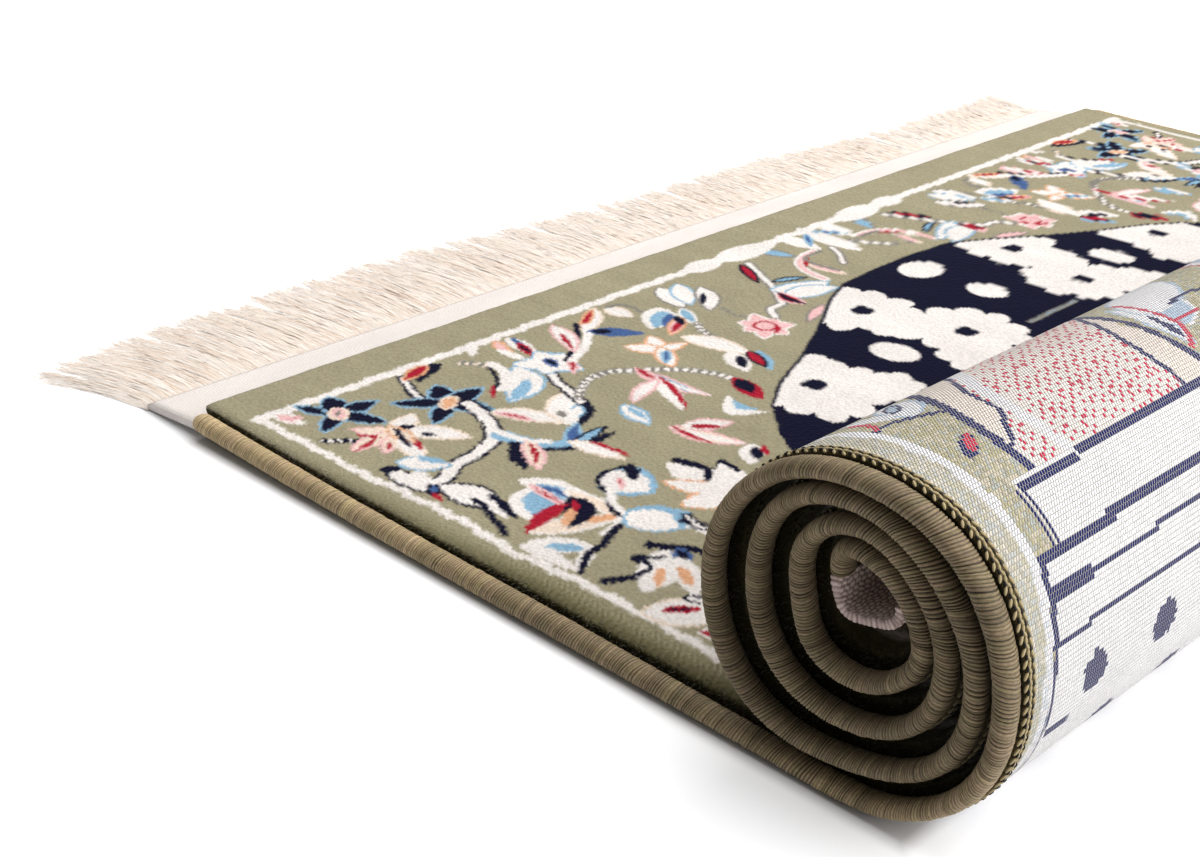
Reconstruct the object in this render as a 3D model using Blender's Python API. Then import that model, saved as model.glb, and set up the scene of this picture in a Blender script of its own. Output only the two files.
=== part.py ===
"""Prayer rug lying pile side up on the floor, with its right-hand end rolled up pile inwards.

The cloth is one solid: a woven ground, the pile on it and a flat-woven strip at each end.
Its section across the rug is swept along the line that the underside follows: flat on the
floor, then round and round the roll, and last through the small flap in the roll's core.
An overcast cord runs along each long edge, and a fringe ends the flat end.

X runs along the rug from the fringe to the roll, Y across it from the near edge to the far
one, Z up, with the floor at Z = 0. Lengths are in metres.
"""
import math
from collections import namedtuple

import bmesh
import bpy
import numpy as np

# The columns of the tables below
Stretch = namedtuple("Stretch", ("length", "bend_radius"))
SidePoint = namedtuple("SidePoint", ("inset", "height_share"))
StrandLie = namedtuple("StrandLie", ("across_rug", "length", "lean"))

# The rug, as cut
RUG_WIDTH = 0.700          # over both overcast cords
GROUND_THICK = 0.0022      # woven ground, and the flat-woven strips at the ends
CLOTH_THICK = 0.0094       # ground and pile where nothing presses on them
STRIP_LENGTH = 0.038       # flat-woven strip at the flat end
STRIP_INSET = 0.003        # from the rug's side to the side of that strip
GAP = 0.0003               # between neighbouring pieces

# Overcast cords
CORD_WIDTH = 0.0094        # across the rug
CORD_THICK = 0.0064        # from the underside up
CORD_SIDES = 8
CORD_TIP = 0.0035          # length of a cord's rounded end
CORD_TIP_STEPS = (0.0, 0.25, 1.0)
CORD_END_SHARE = 0.45      # size of a cord's blunt end against its middle

# How the cloth lies
LIFT = 0.003               # the flat end has kept a little of its curl
LIFT_REACH = 0.18          # and touches the floor from here on
FLAT_STATIONS = 12
STEP_AT_PILE = 0.0006      # stations this close mark where the pile starts

# The roll: how far the underside lies from the roll's axis, turn by turn, inwards
AXIS_X = 0.345             # from the pile's flat end
AXIS_Z = 0.061
TURN_COLUMNS = (
    "below", "below right", "right", "above right", "above", "above left", "left", "below left",
)
TURNS = (
    (0.0610, 0.0582, 0.0515, 0.0486, 0.0466, 0.0508, 0.0574, 0.0594),
    (0.0496, 0.0475, 0.0425, 0.0389, 0.0397, 0.0418, 0.0403, 0.0402),
    (0.0362, 0.0349, 0.0330, 0.0319, 0.0328, 0.0298, 0.0232, 0.0229),
    (0.0216, 0.0223, 0.0254, 0.0250, 0.0259),
)
STEP_ANGLE = math.radians(10)

# The end of the cloth curls into the core, and the flat-woven strip there is the last flap
CORE_CURL = (Stretch(0.0026, 0.0130), Stretch(0.0112, 0.0084), Stretch(0.0068, 0.0280))
CORE_FLAP = (
    Stretch(0.0078, 0.0300), Stretch(0.0080, 0.0062), Stretch(0.0115, 0.0700),
    Stretch(0.0100, 0.0070),
)
CORE_STEP = 0.0023

# Pile
PILE_CLEARANCE = 0.0006    # from the pile to the turn that lies on it
HEIGHT_STEP = 0.0001
NEXT_TURN = 0.030          # the next turn is further along the cloth than this
PILE_BEND_SHARE = 0.60     # on the inside of a bend the cloth is at most this much of its radius
PILE_EDGE = 0.0020         # the pile leans back over this length at its ends
SHOULDER_BASE = 0.0016     # the cloth's side stands straight up to here
SHOULDER = (               # inset from the side, and share of the height over the base
    SidePoint(0.0000, 0.00), SidePoint(0.0005, 0.50), SidePoint(0.0014, 0.85),
    SidePoint(0.0038, 1.00),
)
EVEN_REACH = 2             # the pile's height is evened out over this many stations each way

# Fringe
FRINGE_COUNT = 276
FRINGE_BAND = 0.003        # the band that holds the strands' roots
STRAND_WIDTH = 0.0016
STRAND_HEIGHT = 0.0014
STRAND_TIP_SHARE = 0.45
STRAND_STEPS = 3
FRINGE_LIE = (             # how long the strands are and how far their tips lean across the rug
    StrandLie(0.000, 0.066, -0.018), StrandLie(0.060, 0.076, -0.010),
    StrandLie(0.200, 0.078, -0.004), StrandLie(0.340, 0.062, 0.002),
    StrandLie(0.470, 0.060, 0.004), StrandLie(0.590, 0.046, 0.007),
    StrandLie(0.700, 0.050, 0.016),
)
FRINGE_RIPPLE = 0.0025     # the tips are uneven by this much, in two waves
RIPPLE_RATES = (1.70, 0.37)


def material(name, colour, roughness):
    made = bpy.data.materials.new(name)
    made.use_nodes = True
    shader = made.node_tree.nodes["Principled BSDF"]
    shader.inputs["Base Color"].default_value = (*colour, 1.0)
    shader.inputs["Roughness"].default_value = roughness
    return made


def through(rows, at):
    """A smooth curve through evenly spaced values, read at a place counted in rows."""
    row = min(int(at), len(rows) - 2)
    t = at - row
    before = rows[row - 1] if row > 0 else rows[1]
    after = rows[row + 2] if row + 2 < len(rows) else 2 * rows[row + 1] - rows[row]
    a, b = rows[row], rows[row + 1]
    slope_a, slope_b = (b - before) / 2, (after - a) / 2
    return (
        a * (2 * t ** 3 - 3 * t ** 2 + 1) + b * (3 * t ** 2 - 2 * t ** 3)
        + slope_a * (t ** 3 - 2 * t ** 2 + t) + slope_b * (t ** 3 - t ** 2)
    )


def lift_at(x):
    """Height of the underside over the floor along the flat end."""
    if x < 0:
        return LIFT * (1 + x / STRIP_LENGTH)
    return LIFT * max(0.0, 1 - x / LIFT_REACH) ** 2


def bend(start, heading, rows):
    """Points along stretches of a given bend, and the heading at the end."""
    points = []
    place = np.array(start)
    for length, radius in rows:
        steps = max(1, round(length / CORE_STEP))
        for _ in range(steps):
            heading += length / radius / steps / 2
            place = place + length / steps * np.array((math.cos(heading), math.sin(heading)))
            heading += length / radius / steps / 2
            points.append(place)
    return points, heading


def underside():
    """The underside's line (x, z), and the places on it where the pile starts and ends."""
    strip_places = (-STRIP_LENGTH, -STRIP_LENGTH / 2, -STEP_AT_PILE, 0.0)
    strip = [(x, lift_at(x)) for x in strip_places]
    rise = [(x, lift_at(x)) for x in (STEP_AT_PILE, PILE_EDGE / 2, PILE_EDGE)]
    shares = np.linspace(0, 1, FLAT_STATIONS + 1)[1:]
    flat = [(x, lift_at(x)) for x in PILE_EDGE + (AXIS_X - PILE_EDGE) * shares]
    turns = [distance for turn in TURNS for distance in turn]
    rows_per_radian = len(TURN_COLUMNS) / (2 * math.pi)
    last = (len(turns) - 1) / rows_per_radian
    angles = np.arange(1, round(last / STEP_ANGLE) + 1) * STEP_ANGLE
    roll = []
    for angle in angles:
        reach = through(turns, angle * rows_per_radian)
        roll.append((AXIS_X + reach * math.sin(angle), AXIS_Z - reach * math.cos(angle)))
    run = np.subtract(roll[-1], roll[-2])
    heading = math.atan2(run[1], run[0]) + STEP_ANGLE / 2
    curl, heading = bend(roll[-1], heading, CORE_CURL)
    flap, heading = bend(curl[-1], heading, CORE_FLAP)
    points = np.array(strip + rise + flat + roll + curl + flap)
    return points, len(strip) - 1, len(points) - len(flap) - 1


def normals(line):
    """Unit normals to the line, on the pile's side."""
    along = np.gradient(line, axis=0)
    along /= np.linalg.norm(along, axis=1)[:, None]
    return np.stack((-along[:, 1], along[:, 0]), axis=1)


def nearest(point, start, stop):
    """How far a point is from the line through start and stop points, segment by segment."""
    run = stop - start
    share = ((point - start) * run).sum(axis=1) / (run * run).sum(axis=1)
    foot = start + np.clip(share, 0, 1)[:, None] * run
    return np.linalg.norm(point - foot, axis=1).min()


def rounded(share):
    """Height of a quarter circle at a share of the way from its foot to its top."""
    return math.sqrt(max(0.0, 1 - (1 - min(share, 1.0)) ** 2))


def room_over(foot, normal, others, most):
    """How tall the cloth can stand over a point of its underside before it meets the others."""
    height = GROUND_THICK
    while height + HEIGHT_STEP <= most:
        top = foot + (height + HEIGHT_STEP) * normal
        if min(nearest(top, start, stop) for start, stop in others) < PILE_CLEARANCE:
            break
        height += HEIGHT_STEP
    return height


def cloth_heights(line, pile_start, pile_end):
    """Thickness of the cloth at each place: full where it is free, pressed between turns."""
    up = normals(line)
    run = np.linalg.norm(np.diff(line, axis=0), axis=1)
    place = np.concatenate(((0.0,), np.cumsum(run)))
    turned = np.unwrap(np.arctan2(up[:, 1], up[:, 0]))
    bend_rate = np.gradient(turned, place)
    piled = range(pile_start + 1, pile_end)
    rooms = []
    for i in piled:
        most = CLOTH_THICK
        if bend_rate[i] > 1:
            most = min(most, PILE_BEND_SHARE / bend_rate[i])
        ahead = line[place > place[i] + NEXT_TURN]
        behind = line[place < place[i] - NEXT_TURN]
        others = [(turn[:-1], turn[1:]) for turn in (ahead, behind) if len(turn) > 1]
        for neighbour in (i - 1, i, i + 1):
            foot, normal = (line[i] + line[neighbour]) / 2, (up[i] + up[neighbour]) / 2
            most = room_over(foot, normal, others, most)
        rooms.append(most)
    heights = np.full(len(line), GROUND_THICK)
    for i, room in zip(piled, evened(rooms)):
        edge = min(place[i] - place[pile_start], place[pile_end] - place[i]) / PILE_EDGE
        heights[i] = GROUND_THICK + (room - GROUND_THICK) * rounded(edge)
    return heights


def evened(rooms):
    """The pile's heights with their jumps evened out, none of them raised."""
    spans = [slice(max(0, i - EVEN_REACH), i + EVEN_REACH + 1) for i in range(len(rooms))]
    low = [min(rooms[span]) for span in spans]
    return [min(room, sum(low[span]) / len(low[span])) for room, span in zip(rooms, spans)]


def loft(name, rings, colour):
    """One closed solid through rings of points, with both ends filled."""
    mesh = bpy.data.meshes.new(name)
    shape = bmesh.new()
    made = [[shape.verts.new(point) for point in ring] for ring in rings]
    count = len(made[0])
    for ring, following in zip(made, made[1:]):
        for i in range(count):
            j = (i + 1) % count
            shape.faces.new((ring[i], ring[j], following[j], following[i]))
    shape.faces.new(list(reversed(made[0])))
    shape.faces.new(made[-1])
    bmesh.ops.recalc_face_normals(shape, faces=shape.faces)
    shape.to_mesh(mesh)
    shape.free()
    solid = bpy.data.objects.new(name, mesh)
    mesh.materials.append(colour)
    bpy.context.collection.objects.link(solid)
    return solid


def cloth_section(height, near_side):
    """The cloth's section across the rug: (y, height over the underside), round one way."""
    far_side = RUG_WIDTH - near_side
    side = [
        (inset, SHOULDER_BASE + share * (height - SHOULDER_BASE)) for inset, share in SHOULDER
    ]
    section = [(near_side, 0.0), (far_side, 0.0)]
    section += [(far_side - inset, over) for inset, over in side]
    section += [(near_side + inset, over) for inset, over in reversed(side)]
    return section


def make_cloth(line, pile_start, pile_end, colour):
    up = normals(line)
    heights = cloth_heights(line, pile_start, pile_end)
    rings = []
    for i, (foot, normal) in enumerate(zip(line, up)):
        strip = i < pile_start or i > pile_end
        near_side = STRIP_INSET if strip else CORD_WIDTH + GAP
        ring = []
        for y, over in cloth_section(heights[i], near_side):
            x, z = foot + over * normal
            ring.append((x, y, z))
        rings.append(ring)
    return loft("rug_cloth", rings, colour)


def make_cord(name, middle_y, line, pile_start, pile_end, colour):
    """A cord along one long edge, oval in section, with rounded ends."""
    up = normals(line)
    middles = line + up * CORD_THICK / 2
    run = np.linalg.norm(np.diff(middles, axis=0), axis=1)
    place = np.concatenate(((0.0,), np.cumsum(run)))
    first, last = place[pile_start] + 2 * GAP, place[pile_end] - 2 * GAP
    inside = place[(place > first + CORD_TIP) & (place < last - CORD_TIP)]
    tip = CORD_TIP * np.array(CORD_TIP_STEPS)
    stations = np.concatenate((first + tip, inside, last - tip[::-1]))
    rings = []
    for station in stations:
        edge = min(station - first, last - station) / CORD_TIP
        share = CORD_END_SHARE + (1 - CORD_END_SHARE) * rounded(edge)
        middle = [np.interp(station, place, middles[:, i]) for i in (0, 1)]
        normal = [np.interp(station, place, up[:, i]) for i in (0, 1)]
        ring = []
        for i in range(CORD_SIDES):
            angle = 2 * math.pi * (i + 0.5) / CORD_SIDES
            across = share * CORD_WIDTH / 2 * math.cos(angle) / math.cos(math.pi / CORD_SIDES)
            over = share * CORD_THICK / 2 * math.sin(angle) / math.cos(math.pi / CORD_SIDES)
            x = middle[0] + over * normal[0]
            z = middle[1] + over * normal[1]
            ring.append((x, middle_y + across, z))
        rings.append(ring)
    return loft(name, rings, colour)


def strand_lie(y, number):
    """Length and sideways lean of the strand whose root is at y."""
    across = [row.across_rug for row in FRINGE_LIE]
    length = np.interp(y, across, [row.length for row in FRINGE_LIE])
    lean = np.interp(y, across, [row.lean for row in FRINGE_LIE])
    ripple = sum(math.sin(rate * number) for rate in RIPPLE_RATES)
    return length + FRINGE_RIPPLE * ripple, lean


def make_fringe(colour):
    """Three-sided strands that lie level on the floor, their roots in one narrow band."""
    shape = bmesh.new()
    back_x = -STRIP_LENGTH - GAP
    root_x = back_x - FRINGE_BAND
    near, far = STRIP_INSET, RUG_WIDTH - STRIP_INSET
    pitch = (far - near) / FRINGE_COUNT
    low_edge, high_edge = [], []
    for number in range(FRINGE_COUNT):
        y = near + (number + 0.5) * pitch
        half = STRAND_WIDTH / 2
        length, lean = strand_lie(y, number)
        ring = [
            shape.verts.new((root_x, y - half, 0.0)),
            shape.verts.new((root_x, y + half, 0.0)),
            shape.verts.new((root_x, y, STRAND_HEIGHT)),
        ]
        low_edge += ring[:2]
        high_edge.append(ring[2])
        for step in range(1, STRAND_STEPS + 1):
            share = step / STRAND_STEPS
            size = 1 - (1 - STRAND_TIP_SHARE) * share
            x = root_x - length * share
            mid = y + lean * share ** 2
            following = [
                shape.verts.new((x, mid - half * size, 0.0)),
                shape.verts.new((x, mid + half * size, 0.0)),
                shape.verts.new((x, mid, STRAND_HEIGHT * size)),
            ]
            for i in range(3):
                j = (i + 1) % 3
                shape.faces.new((ring[i], ring[j], following[j], following[i]))
            ring = following
        shape.faces.new(ring)
    corners = {}
    for side, y in (("near", near), ("far", far)):
        corners[side] = [
            shape.verts.new((root_x, y, 0.0)), shape.verts.new((root_x, y, STRAND_HEIGHT)),
            shape.verts.new((back_x, y, STRAND_HEIGHT)), shape.verts.new((back_x, y, 0.0)),
        ]
    low, high = low_edge, high_edge
    near_corners, far_corners = corners["near"], corners["far"]
    shape.faces.new((near_corners[0], low[0], high[0], near_corners[1]))
    for number in range(FRINGE_COUNT - 1):
        right, left = low[2 * number + 1], low[2 * number + 2]
        shape.faces.new((right, left, high[number + 1], high[number]))
    shape.faces.new((low[-1], far_corners[0], far_corners[1], high[-1]))
    shape.faces.new([near_corners[1], *high, far_corners[1], far_corners[2], near_corners[2]])
    shape.faces.new([near_corners[0], *low, far_corners[0], far_corners[3], near_corners[3]])
    shape.faces.new((near_corners[2], far_corners[2], far_corners[3], near_corners[3]))
    shape.faces.new(near_corners)
    shape.faces.new(far_corners)
    bmesh.ops.recalc_face_normals(shape, faces=shape.faces)
    bmesh.ops.triangulate(shape, faces=shape.faces)
    mesh = bpy.data.meshes.new("fringe")
    shape.to_mesh(mesh)
    shape.free()
    mesh.materials.append(colour)
    fringe = bpy.data.objects.new("fringe", mesh)
    bpy.context.collection.objects.link(fringe)
    return fringe


def centre(pieces):
    """Hang every piece on an empty that puts the origin under the middle of the whole."""
    points = np.array([vertex.co for piece in pieces for vertex in piece.data.vertices])
    middle = (points.min(axis=0) + points.max(axis=0)) / 2
    frame = bpy.data.objects.new("rug_frame", None)
    bpy.context.collection.objects.link(frame)
    frame.location = (-middle[0], -middle[1], 0.0)
    for piece in pieces:
        piece.parent = frame


def main():
    for thing in list(bpy.data.objects):
        bpy.data.objects.remove(thing, do_unlink=True)
    pile = material("pile", (0.30, 0.28, 0.17), 0.95)
    thread = material("edge_thread", (0.19, 0.16, 0.09), 0.8)
    yarn = material("fringe_yarn", (0.80, 0.72, 0.61), 0.9)
    line, pile_start, pile_end = underside()
    middle = CORD_WIDTH / 2
    centre([
        make_cloth(line, pile_start, pile_end, pile),
        make_cord("edge_cord_near", middle, line, pile_start, pile_end, thread),
        make_cord("edge_cord_far", RUG_WIDTH - middle, line, pile_start, pile_end, thread),
        make_fringe(yarn),
    ])


main()
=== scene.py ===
"""Prayer rug lying pile side up, one end rolled up: its pile, woven back, overcast edges and fringe.

Places on the cloth are given along it, from the pile's flat end, and across it, from the near
cord's outer edge. Lengths are in metres, and in millimetres where the woven design is drawn.
"""

import math
from collections import namedtuple

import bpy
import numpy as np
from bpy.props import FloatProperty, FloatVectorProperty, IntProperty, PointerProperty
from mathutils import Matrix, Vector


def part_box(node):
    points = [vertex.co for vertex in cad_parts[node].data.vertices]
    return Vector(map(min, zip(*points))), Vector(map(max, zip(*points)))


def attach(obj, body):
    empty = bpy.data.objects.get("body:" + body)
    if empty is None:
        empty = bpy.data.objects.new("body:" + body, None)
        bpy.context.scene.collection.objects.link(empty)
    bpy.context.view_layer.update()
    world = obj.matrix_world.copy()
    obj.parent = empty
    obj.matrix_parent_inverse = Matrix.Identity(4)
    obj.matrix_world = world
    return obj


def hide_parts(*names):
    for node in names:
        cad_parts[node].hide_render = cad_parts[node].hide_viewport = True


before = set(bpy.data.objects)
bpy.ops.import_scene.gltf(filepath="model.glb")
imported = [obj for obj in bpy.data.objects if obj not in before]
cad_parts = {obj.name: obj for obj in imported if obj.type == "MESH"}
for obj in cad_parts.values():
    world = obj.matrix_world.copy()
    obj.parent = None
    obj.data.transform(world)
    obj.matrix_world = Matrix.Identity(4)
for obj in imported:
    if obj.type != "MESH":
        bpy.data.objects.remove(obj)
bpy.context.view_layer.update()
CLOTH_LOW, CLOTH_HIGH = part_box("rug_cloth")

bl_info = {
    "name": "Prayer rug, rolled at one end",
    "version": (1, 0, 0),
    "blender": (4, 5, 0),
    "location": "3D View > Sidebar > Rug",
    "description": "Makes the pile, woven back, overcast edges and fringe of a prayer rug",
    "category": "Add Mesh",
}

# Columns of the tables below
Stretch = namedtuple("Stretch", "length bend_radius")
Side = namedtuple("Side", "inset share")
StrandLie = namedtuple("StrandLie", "across length lean")
Stitch = namedtuple("Stitch", "start across lean out length width height colour")
Blossom = namedtuple("Blossom", "petals along across reach broad turn heart colours")
Cloud = namedtuple("Cloud", "lobes along across reach turn")
Leaf = namedtuple("Leaf", "along across to_along to_across broad colours bow", defaults=(0,))
Stem = namedtuple("Stem", "points thick colours")
Oval = namedtuple("Oval", "along across half_along half_across")
Rule = namedtuple("Rule", "along across to_along to_across thick")
Lamp = namedtuple("Lamp", "name place size power tint")

# The cloth, as the solids have it
STRIP_LENGTH = 0.038  # flat-woven strip at each end
STRIP_INSET = 0.003  # the strips and the fringe stop this far inside the rug's sides
GAP = 0.0003  # between two pieces
CORD_TIP = 0.0035  # an overcast edge narrows over this length at its ends
CORD_END_SHARE = 0.45  # to this share of its size
LIFT = 0.003  # the flat end stands off the floor this far
LIFT_REACH = 0.18  # and comes down to it over this length
FLAT_STATIONS = 12
STEP_AT_PILE = 0.0006
AXIS_X = 0.345  # the roll's axis: along the rug and over the floor
AXIS_Z = 0.061
TURNS = (  # the underside from the roll's axis, eight to a turn, from below
    (0.0610, 0.0582, 0.0515, 0.0486, 0.0466, 0.0508, 0.0574, 0.0594),
    (0.0496, 0.0475, 0.0425, 0.0389, 0.0397, 0.0418, 0.0403, 0.0402),
    (0.0362, 0.0349, 0.0330, 0.0319, 0.0328, 0.0298, 0.0232, 0.0229),
    (0.0216, 0.0223, 0.0254, 0.0250, 0.0259),
)
ROWS_A_TURN = 8
STEP_ANGLE = math.radians(10)
CORE_CURL = (  # the pile's last stretch, inside the turns
    Stretch(0.0026, 0.0130), Stretch(0.0112, 0.0084), Stretch(0.0068, 0.0280),
)
CORE_FLAP = (  # the flat-woven strip that ends the cloth there
    Stretch(0.0078, 0.0300), Stretch(0.0080, 0.0062), Stretch(0.0115, 0.0700),
    Stretch(0.0100, 0.0070),
)
CORE_STEP = 0.0023
PILE_CLEARANCE = 0.0006  # between the pile and the turn that presses on it
HEIGHT_STEP = 0.0001
NEXT_TURN = 0.030  # along the cloth, what is nearer than this isn't another turn
BENT = 1.0  # one over the radius: what bends less counts as straight
PILE_BEND_SHARE = 0.60  # the cloth's thickness is at most this share of its bend's radius
PILE_EDGE = 0.0020  # the pile's ends are rounded within this length
EVEN_REACH = 2
SHOULDER = (  # inset from the pile's side, and share of its height
    Side(0.0000, 0.00), Side(0.0002, 0.25), Side(0.0005, 0.50), Side(0.0009, 0.70),
    Side(0.0014, 0.85), Side(0.0024, 0.95), Side(0.0038, 1.00),
)
ROLL_STARTS = 0.360  # along the cloth: the back shows from here
ROLL_COVERED = 0.700  # and is covered by the outer turn from here
PILE_PARTS = 0.310  # the pile is made in two parts that meet here, under the roll
CORNER = (  # the rug's near side at the pile's flat end, in the scene
    CLOTH_LOW.x + STRIP_LENGTH, CLOTH_LOW.y - STRIP_INSET,
)

LIGHT_LEVEL = 1.35  # the studio is this much brighter than a white floor needs


def linear(*rgb):
    """The light that a surface reflects which the studio's light shows in this colour, 0 to 255."""
    share = np.array(rgb) / 255
    light = np.where(share <= 0.04045, share / 12.92, ((share + 0.055) / 1.055) ** 2.4)
    return tuple(float(part) for part in light / LIGHT_LEVEL)


def length_setting(name, description, default):
    return FloatProperty(
        name=name, description=description, default=default, unit="LENGTH", precision=5,
    )


def share_setting(name, description, default):
    return FloatProperty(name=name, description=description, default=default, min=0.0)


def count_setting(name, description, default):
    return IntProperty(name=name, description=description, default=default, min=1)


def colour_setting(name, description, *rgb):
    return FloatVectorProperty(
        name=name, description=description, default=linear(*rgb), subtype="COLOR", size=3,
        min=0.0, max=1.0,
    )


class RugSizes(bpy.types.PropertyGroup):
    """Sizes of the rug and its yarns"""

    width: length_setting(
        "Width", "Rug width over both overcast edges", CLOTH_HIGH.y - CLOTH_LOW.y + 2 * STRIP_INSET,
    )
    cloth_thick: length_setting("Cloth", "Ground and pile where nothing presses on them", 0.0094)
    ground_thick: length_setting("Ground", "Woven ground without its pile", 0.0022)
    cord_width: length_setting("Edge width", "Overcast edge, across the rug", 0.0094)
    cord_thick: length_setting("Edge thickness", "Overcast edge, from the underside up", 0.0064)
    rib_pitch: length_setting("Thread pitch", "From one wound thread of the edge to the next", 0.00112)
    knot_along: length_setting("Knot length", "One knot along the rug", 0.0015)
    knot_across: length_setting("Knot width", "One knot across the rug", 0.0012)
    pile_step: length_setting("Pile step", "Fineness of the pile where it shows", 0.00125)
    stitch_pitch: length_setting(
        "Stitch pitch", "From one needle hole beside the edge to the next", 0.0034,
    )
    strands: count_setting("Fringe strands", "Strands in the fringe", 2800)
    tufts: count_setting("Loose tufts", "Tufts along each side of the pile", 5200)


class PileColours(bpy.types.PropertyGroup):
    """Yarn colours as the pile shows them"""

    olive: colour_setting("Olive", "Ground of the pile", 171, 164, 138)
    navy: colour_setting("Navy", "Dome, outlines and petals", 10, 13, 47)
    white: colour_setting("White", "Border line and flowers", 244, 238, 234)
    cream: colour_setting("Cream", "Flowers", 242, 224, 208)
    light_blue: colour_setting("Light blue", "Petals and leaves", 150, 188, 213)
    blue: colour_setting("Blue", "Petals", 80, 108, 158)
    peach: colour_setting("Peach", "Petals", 232, 180, 142)
    pink: colour_setting("Pink", "Petals", 240, 196, 196)
    red: colour_setting("Red", "Buds and streaks", 180, 32, 58)
    grey: colour_setting("Grey", "Shaded outlines", 146, 142, 134)
    pale: colour_setting("Pale", "Mixed white of the panel", 246, 240, 236)
    ecru: colour_setting("Ecru", "Mixed white of the arch", 244, 232, 222)


class BackColours(bpy.types.PropertyGroup):
    """The same yarns, seen through the ground on the back"""

    olive: colour_setting("Olive", "Ground of the design", 180, 173, 136)
    navy: colour_setting("Navy", "Lines and ovals", 14, 27, 98)
    white: colour_setting("White", "Border stripe and panel", 240, 240, 244)
    cream: colour_setting("Cream", "Flowers and bands", 238, 226, 216)
    light_blue: colour_setting("Light blue", "Petals and leaves", 184, 204, 224)
    blue: colour_setting("Blue", "Petals", 110, 130, 170)
    peach: colour_setting("Peach", "Petals", 235, 205, 180)
    pink: colour_setting("Pink", "Petals", 238, 208, 210)
    red: colour_setting("Red", "Buds and dashes", 205, 40, 80)
    grey: colour_setting("Grey", "Shaded outlines", 150, 150, 150)
    pale: colour_setting("Pale", "Mixed white of the panel", 245, 244, 245)
    ecru: colour_setting("Ecru", "Mixed white of the arch", 238, 230, 224)
    # painted shade: the ground under the stitches is a darkened thread olive, dark between the loops
    under_stitch_shade: colour_setting("Under the stitches", "Ground beside the edge", 120, 108, 76)
    warp: colour_setting("Warp", "Pale yarn between the knots", 240, 238, 236)
    # painted shade: the weft between the rows of knots, darkened
    weft: colour_setting("Weft", "Shaded yarn between the rows of knots", 186, 176, 160)


class YarnColours(bpy.types.PropertyGroup):
    """Colours of the edges, strips and fringe"""

    thread: colour_setting("Edge thread", "Crest of the wound thread", 154, 137, 107)
    thread_shade: colour_setting("Edge thread shade", "Between two wound threads", 40, 32, 18)
    loop: colour_setting("Stitch", "Loops of thread beside the edge", 182, 166, 128)
    # painted shade: a needle hole is a dark bead, its colour the shade inside a hole
    hole: colour_setting("Needle hole", "Inside of a needle hole", 34, 29, 20)
    strip: colour_setting("Strip", "Flat-woven strip at the flat end", 256, 248, 243)
    # painted light: the core strip's colours are raised above its yarn's own, against the little light
    # inside the roll
    core: colour_setting("Core strip", "Flat-woven strip in the roll", 276, 252, 243)
    core_shade: colour_setting("Core strip shade", "Between its bundles of yarn", 134, 102, 94)
    fringe: colour_setting("Fringe", "Fringe yarn", 264, 250, 237)
    fringe_warm: colour_setting("Fringe, warm", "Peach strands in the fringe", 260, 240, 223)
    fringe_pale: colour_setting("Fringe, pale", "Palest strands in the fringe", 272, 262, 252)


class StageLook(bpy.types.PropertyGroup):
    """Floor, light and camera"""

    floor: colour_setting("Floor", "Plain pale floor", 252, 252, 254)
    # painted light: the floor glows though it is no lamp, and not under or close beside the rug
    floor_glow: share_setting(
        "Floor glow", "Light of the bright table that the floor stands for", 0.38,
    )
    air_light: share_setting("Air light", "Even light from all round", 0.30)
    lens: FloatProperty(
        name="Lens", description="Focal length on a 36 mm sensor", default=52.68, unit="CAMERA",
    )
    floor_size: length_setting("Floor size", "Side of the floor", 9.0)


# How the cloth lies: the same line and thickness as the solids have

def read(table, at, **ends):
    """The value that a table of places and values gives at any place, straight from row to row."""
    return np.interp(at, *zip(*table), **ends)


def through(rows, at):
    """A smooth curve through evenly spaced values, read at a place counted in rows."""
    row = min(int(at), len(rows) - 2)
    t = at - row
    before = rows[row - 1] if row > 0 else rows[1]
    after = rows[row + 2] if row + 2 < len(rows) else 2 * rows[row + 1] - rows[row]
    return hermite(t, rows[row], rows[row + 1], (rows[row + 1] - before) / 2, (after - rows[row]) / 2)


def hermite(t, start, stop, slope_start, slope_stop):
    """The smooth curve between two values with given slopes, t going from 0 to 1."""
    return (
        start * (2 * t ** 3 - 3 * t ** 2 + 1) + stop * (3 * t ** 2 - 2 * t ** 3)
        + slope_start * (t ** 3 - 2 * t ** 2 + t) + slope_stop * (t ** 3 - t ** 2)
    )


def lift_at(x):
    """Height of the underside over the floor along the flat end."""
    if x < 0:
        return LIFT * (1 + x / STRIP_LENGTH)
    return LIFT * max(0.0, 1 - x / LIFT_REACH) ** 2


def bend(start, heading, rows):
    """Points along stretches of a given bend."""
    points = []
    place = np.array(start)
    for length, radius in rows:
        steps = max(1, round(length / CORE_STEP))
        for _ in range(steps):
            heading += length / radius / steps / 2
            place = place + length / steps * np.array((math.cos(heading), math.sin(heading)))
            heading += length / radius / steps / 2
            points.append(place)
    return points, heading


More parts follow.
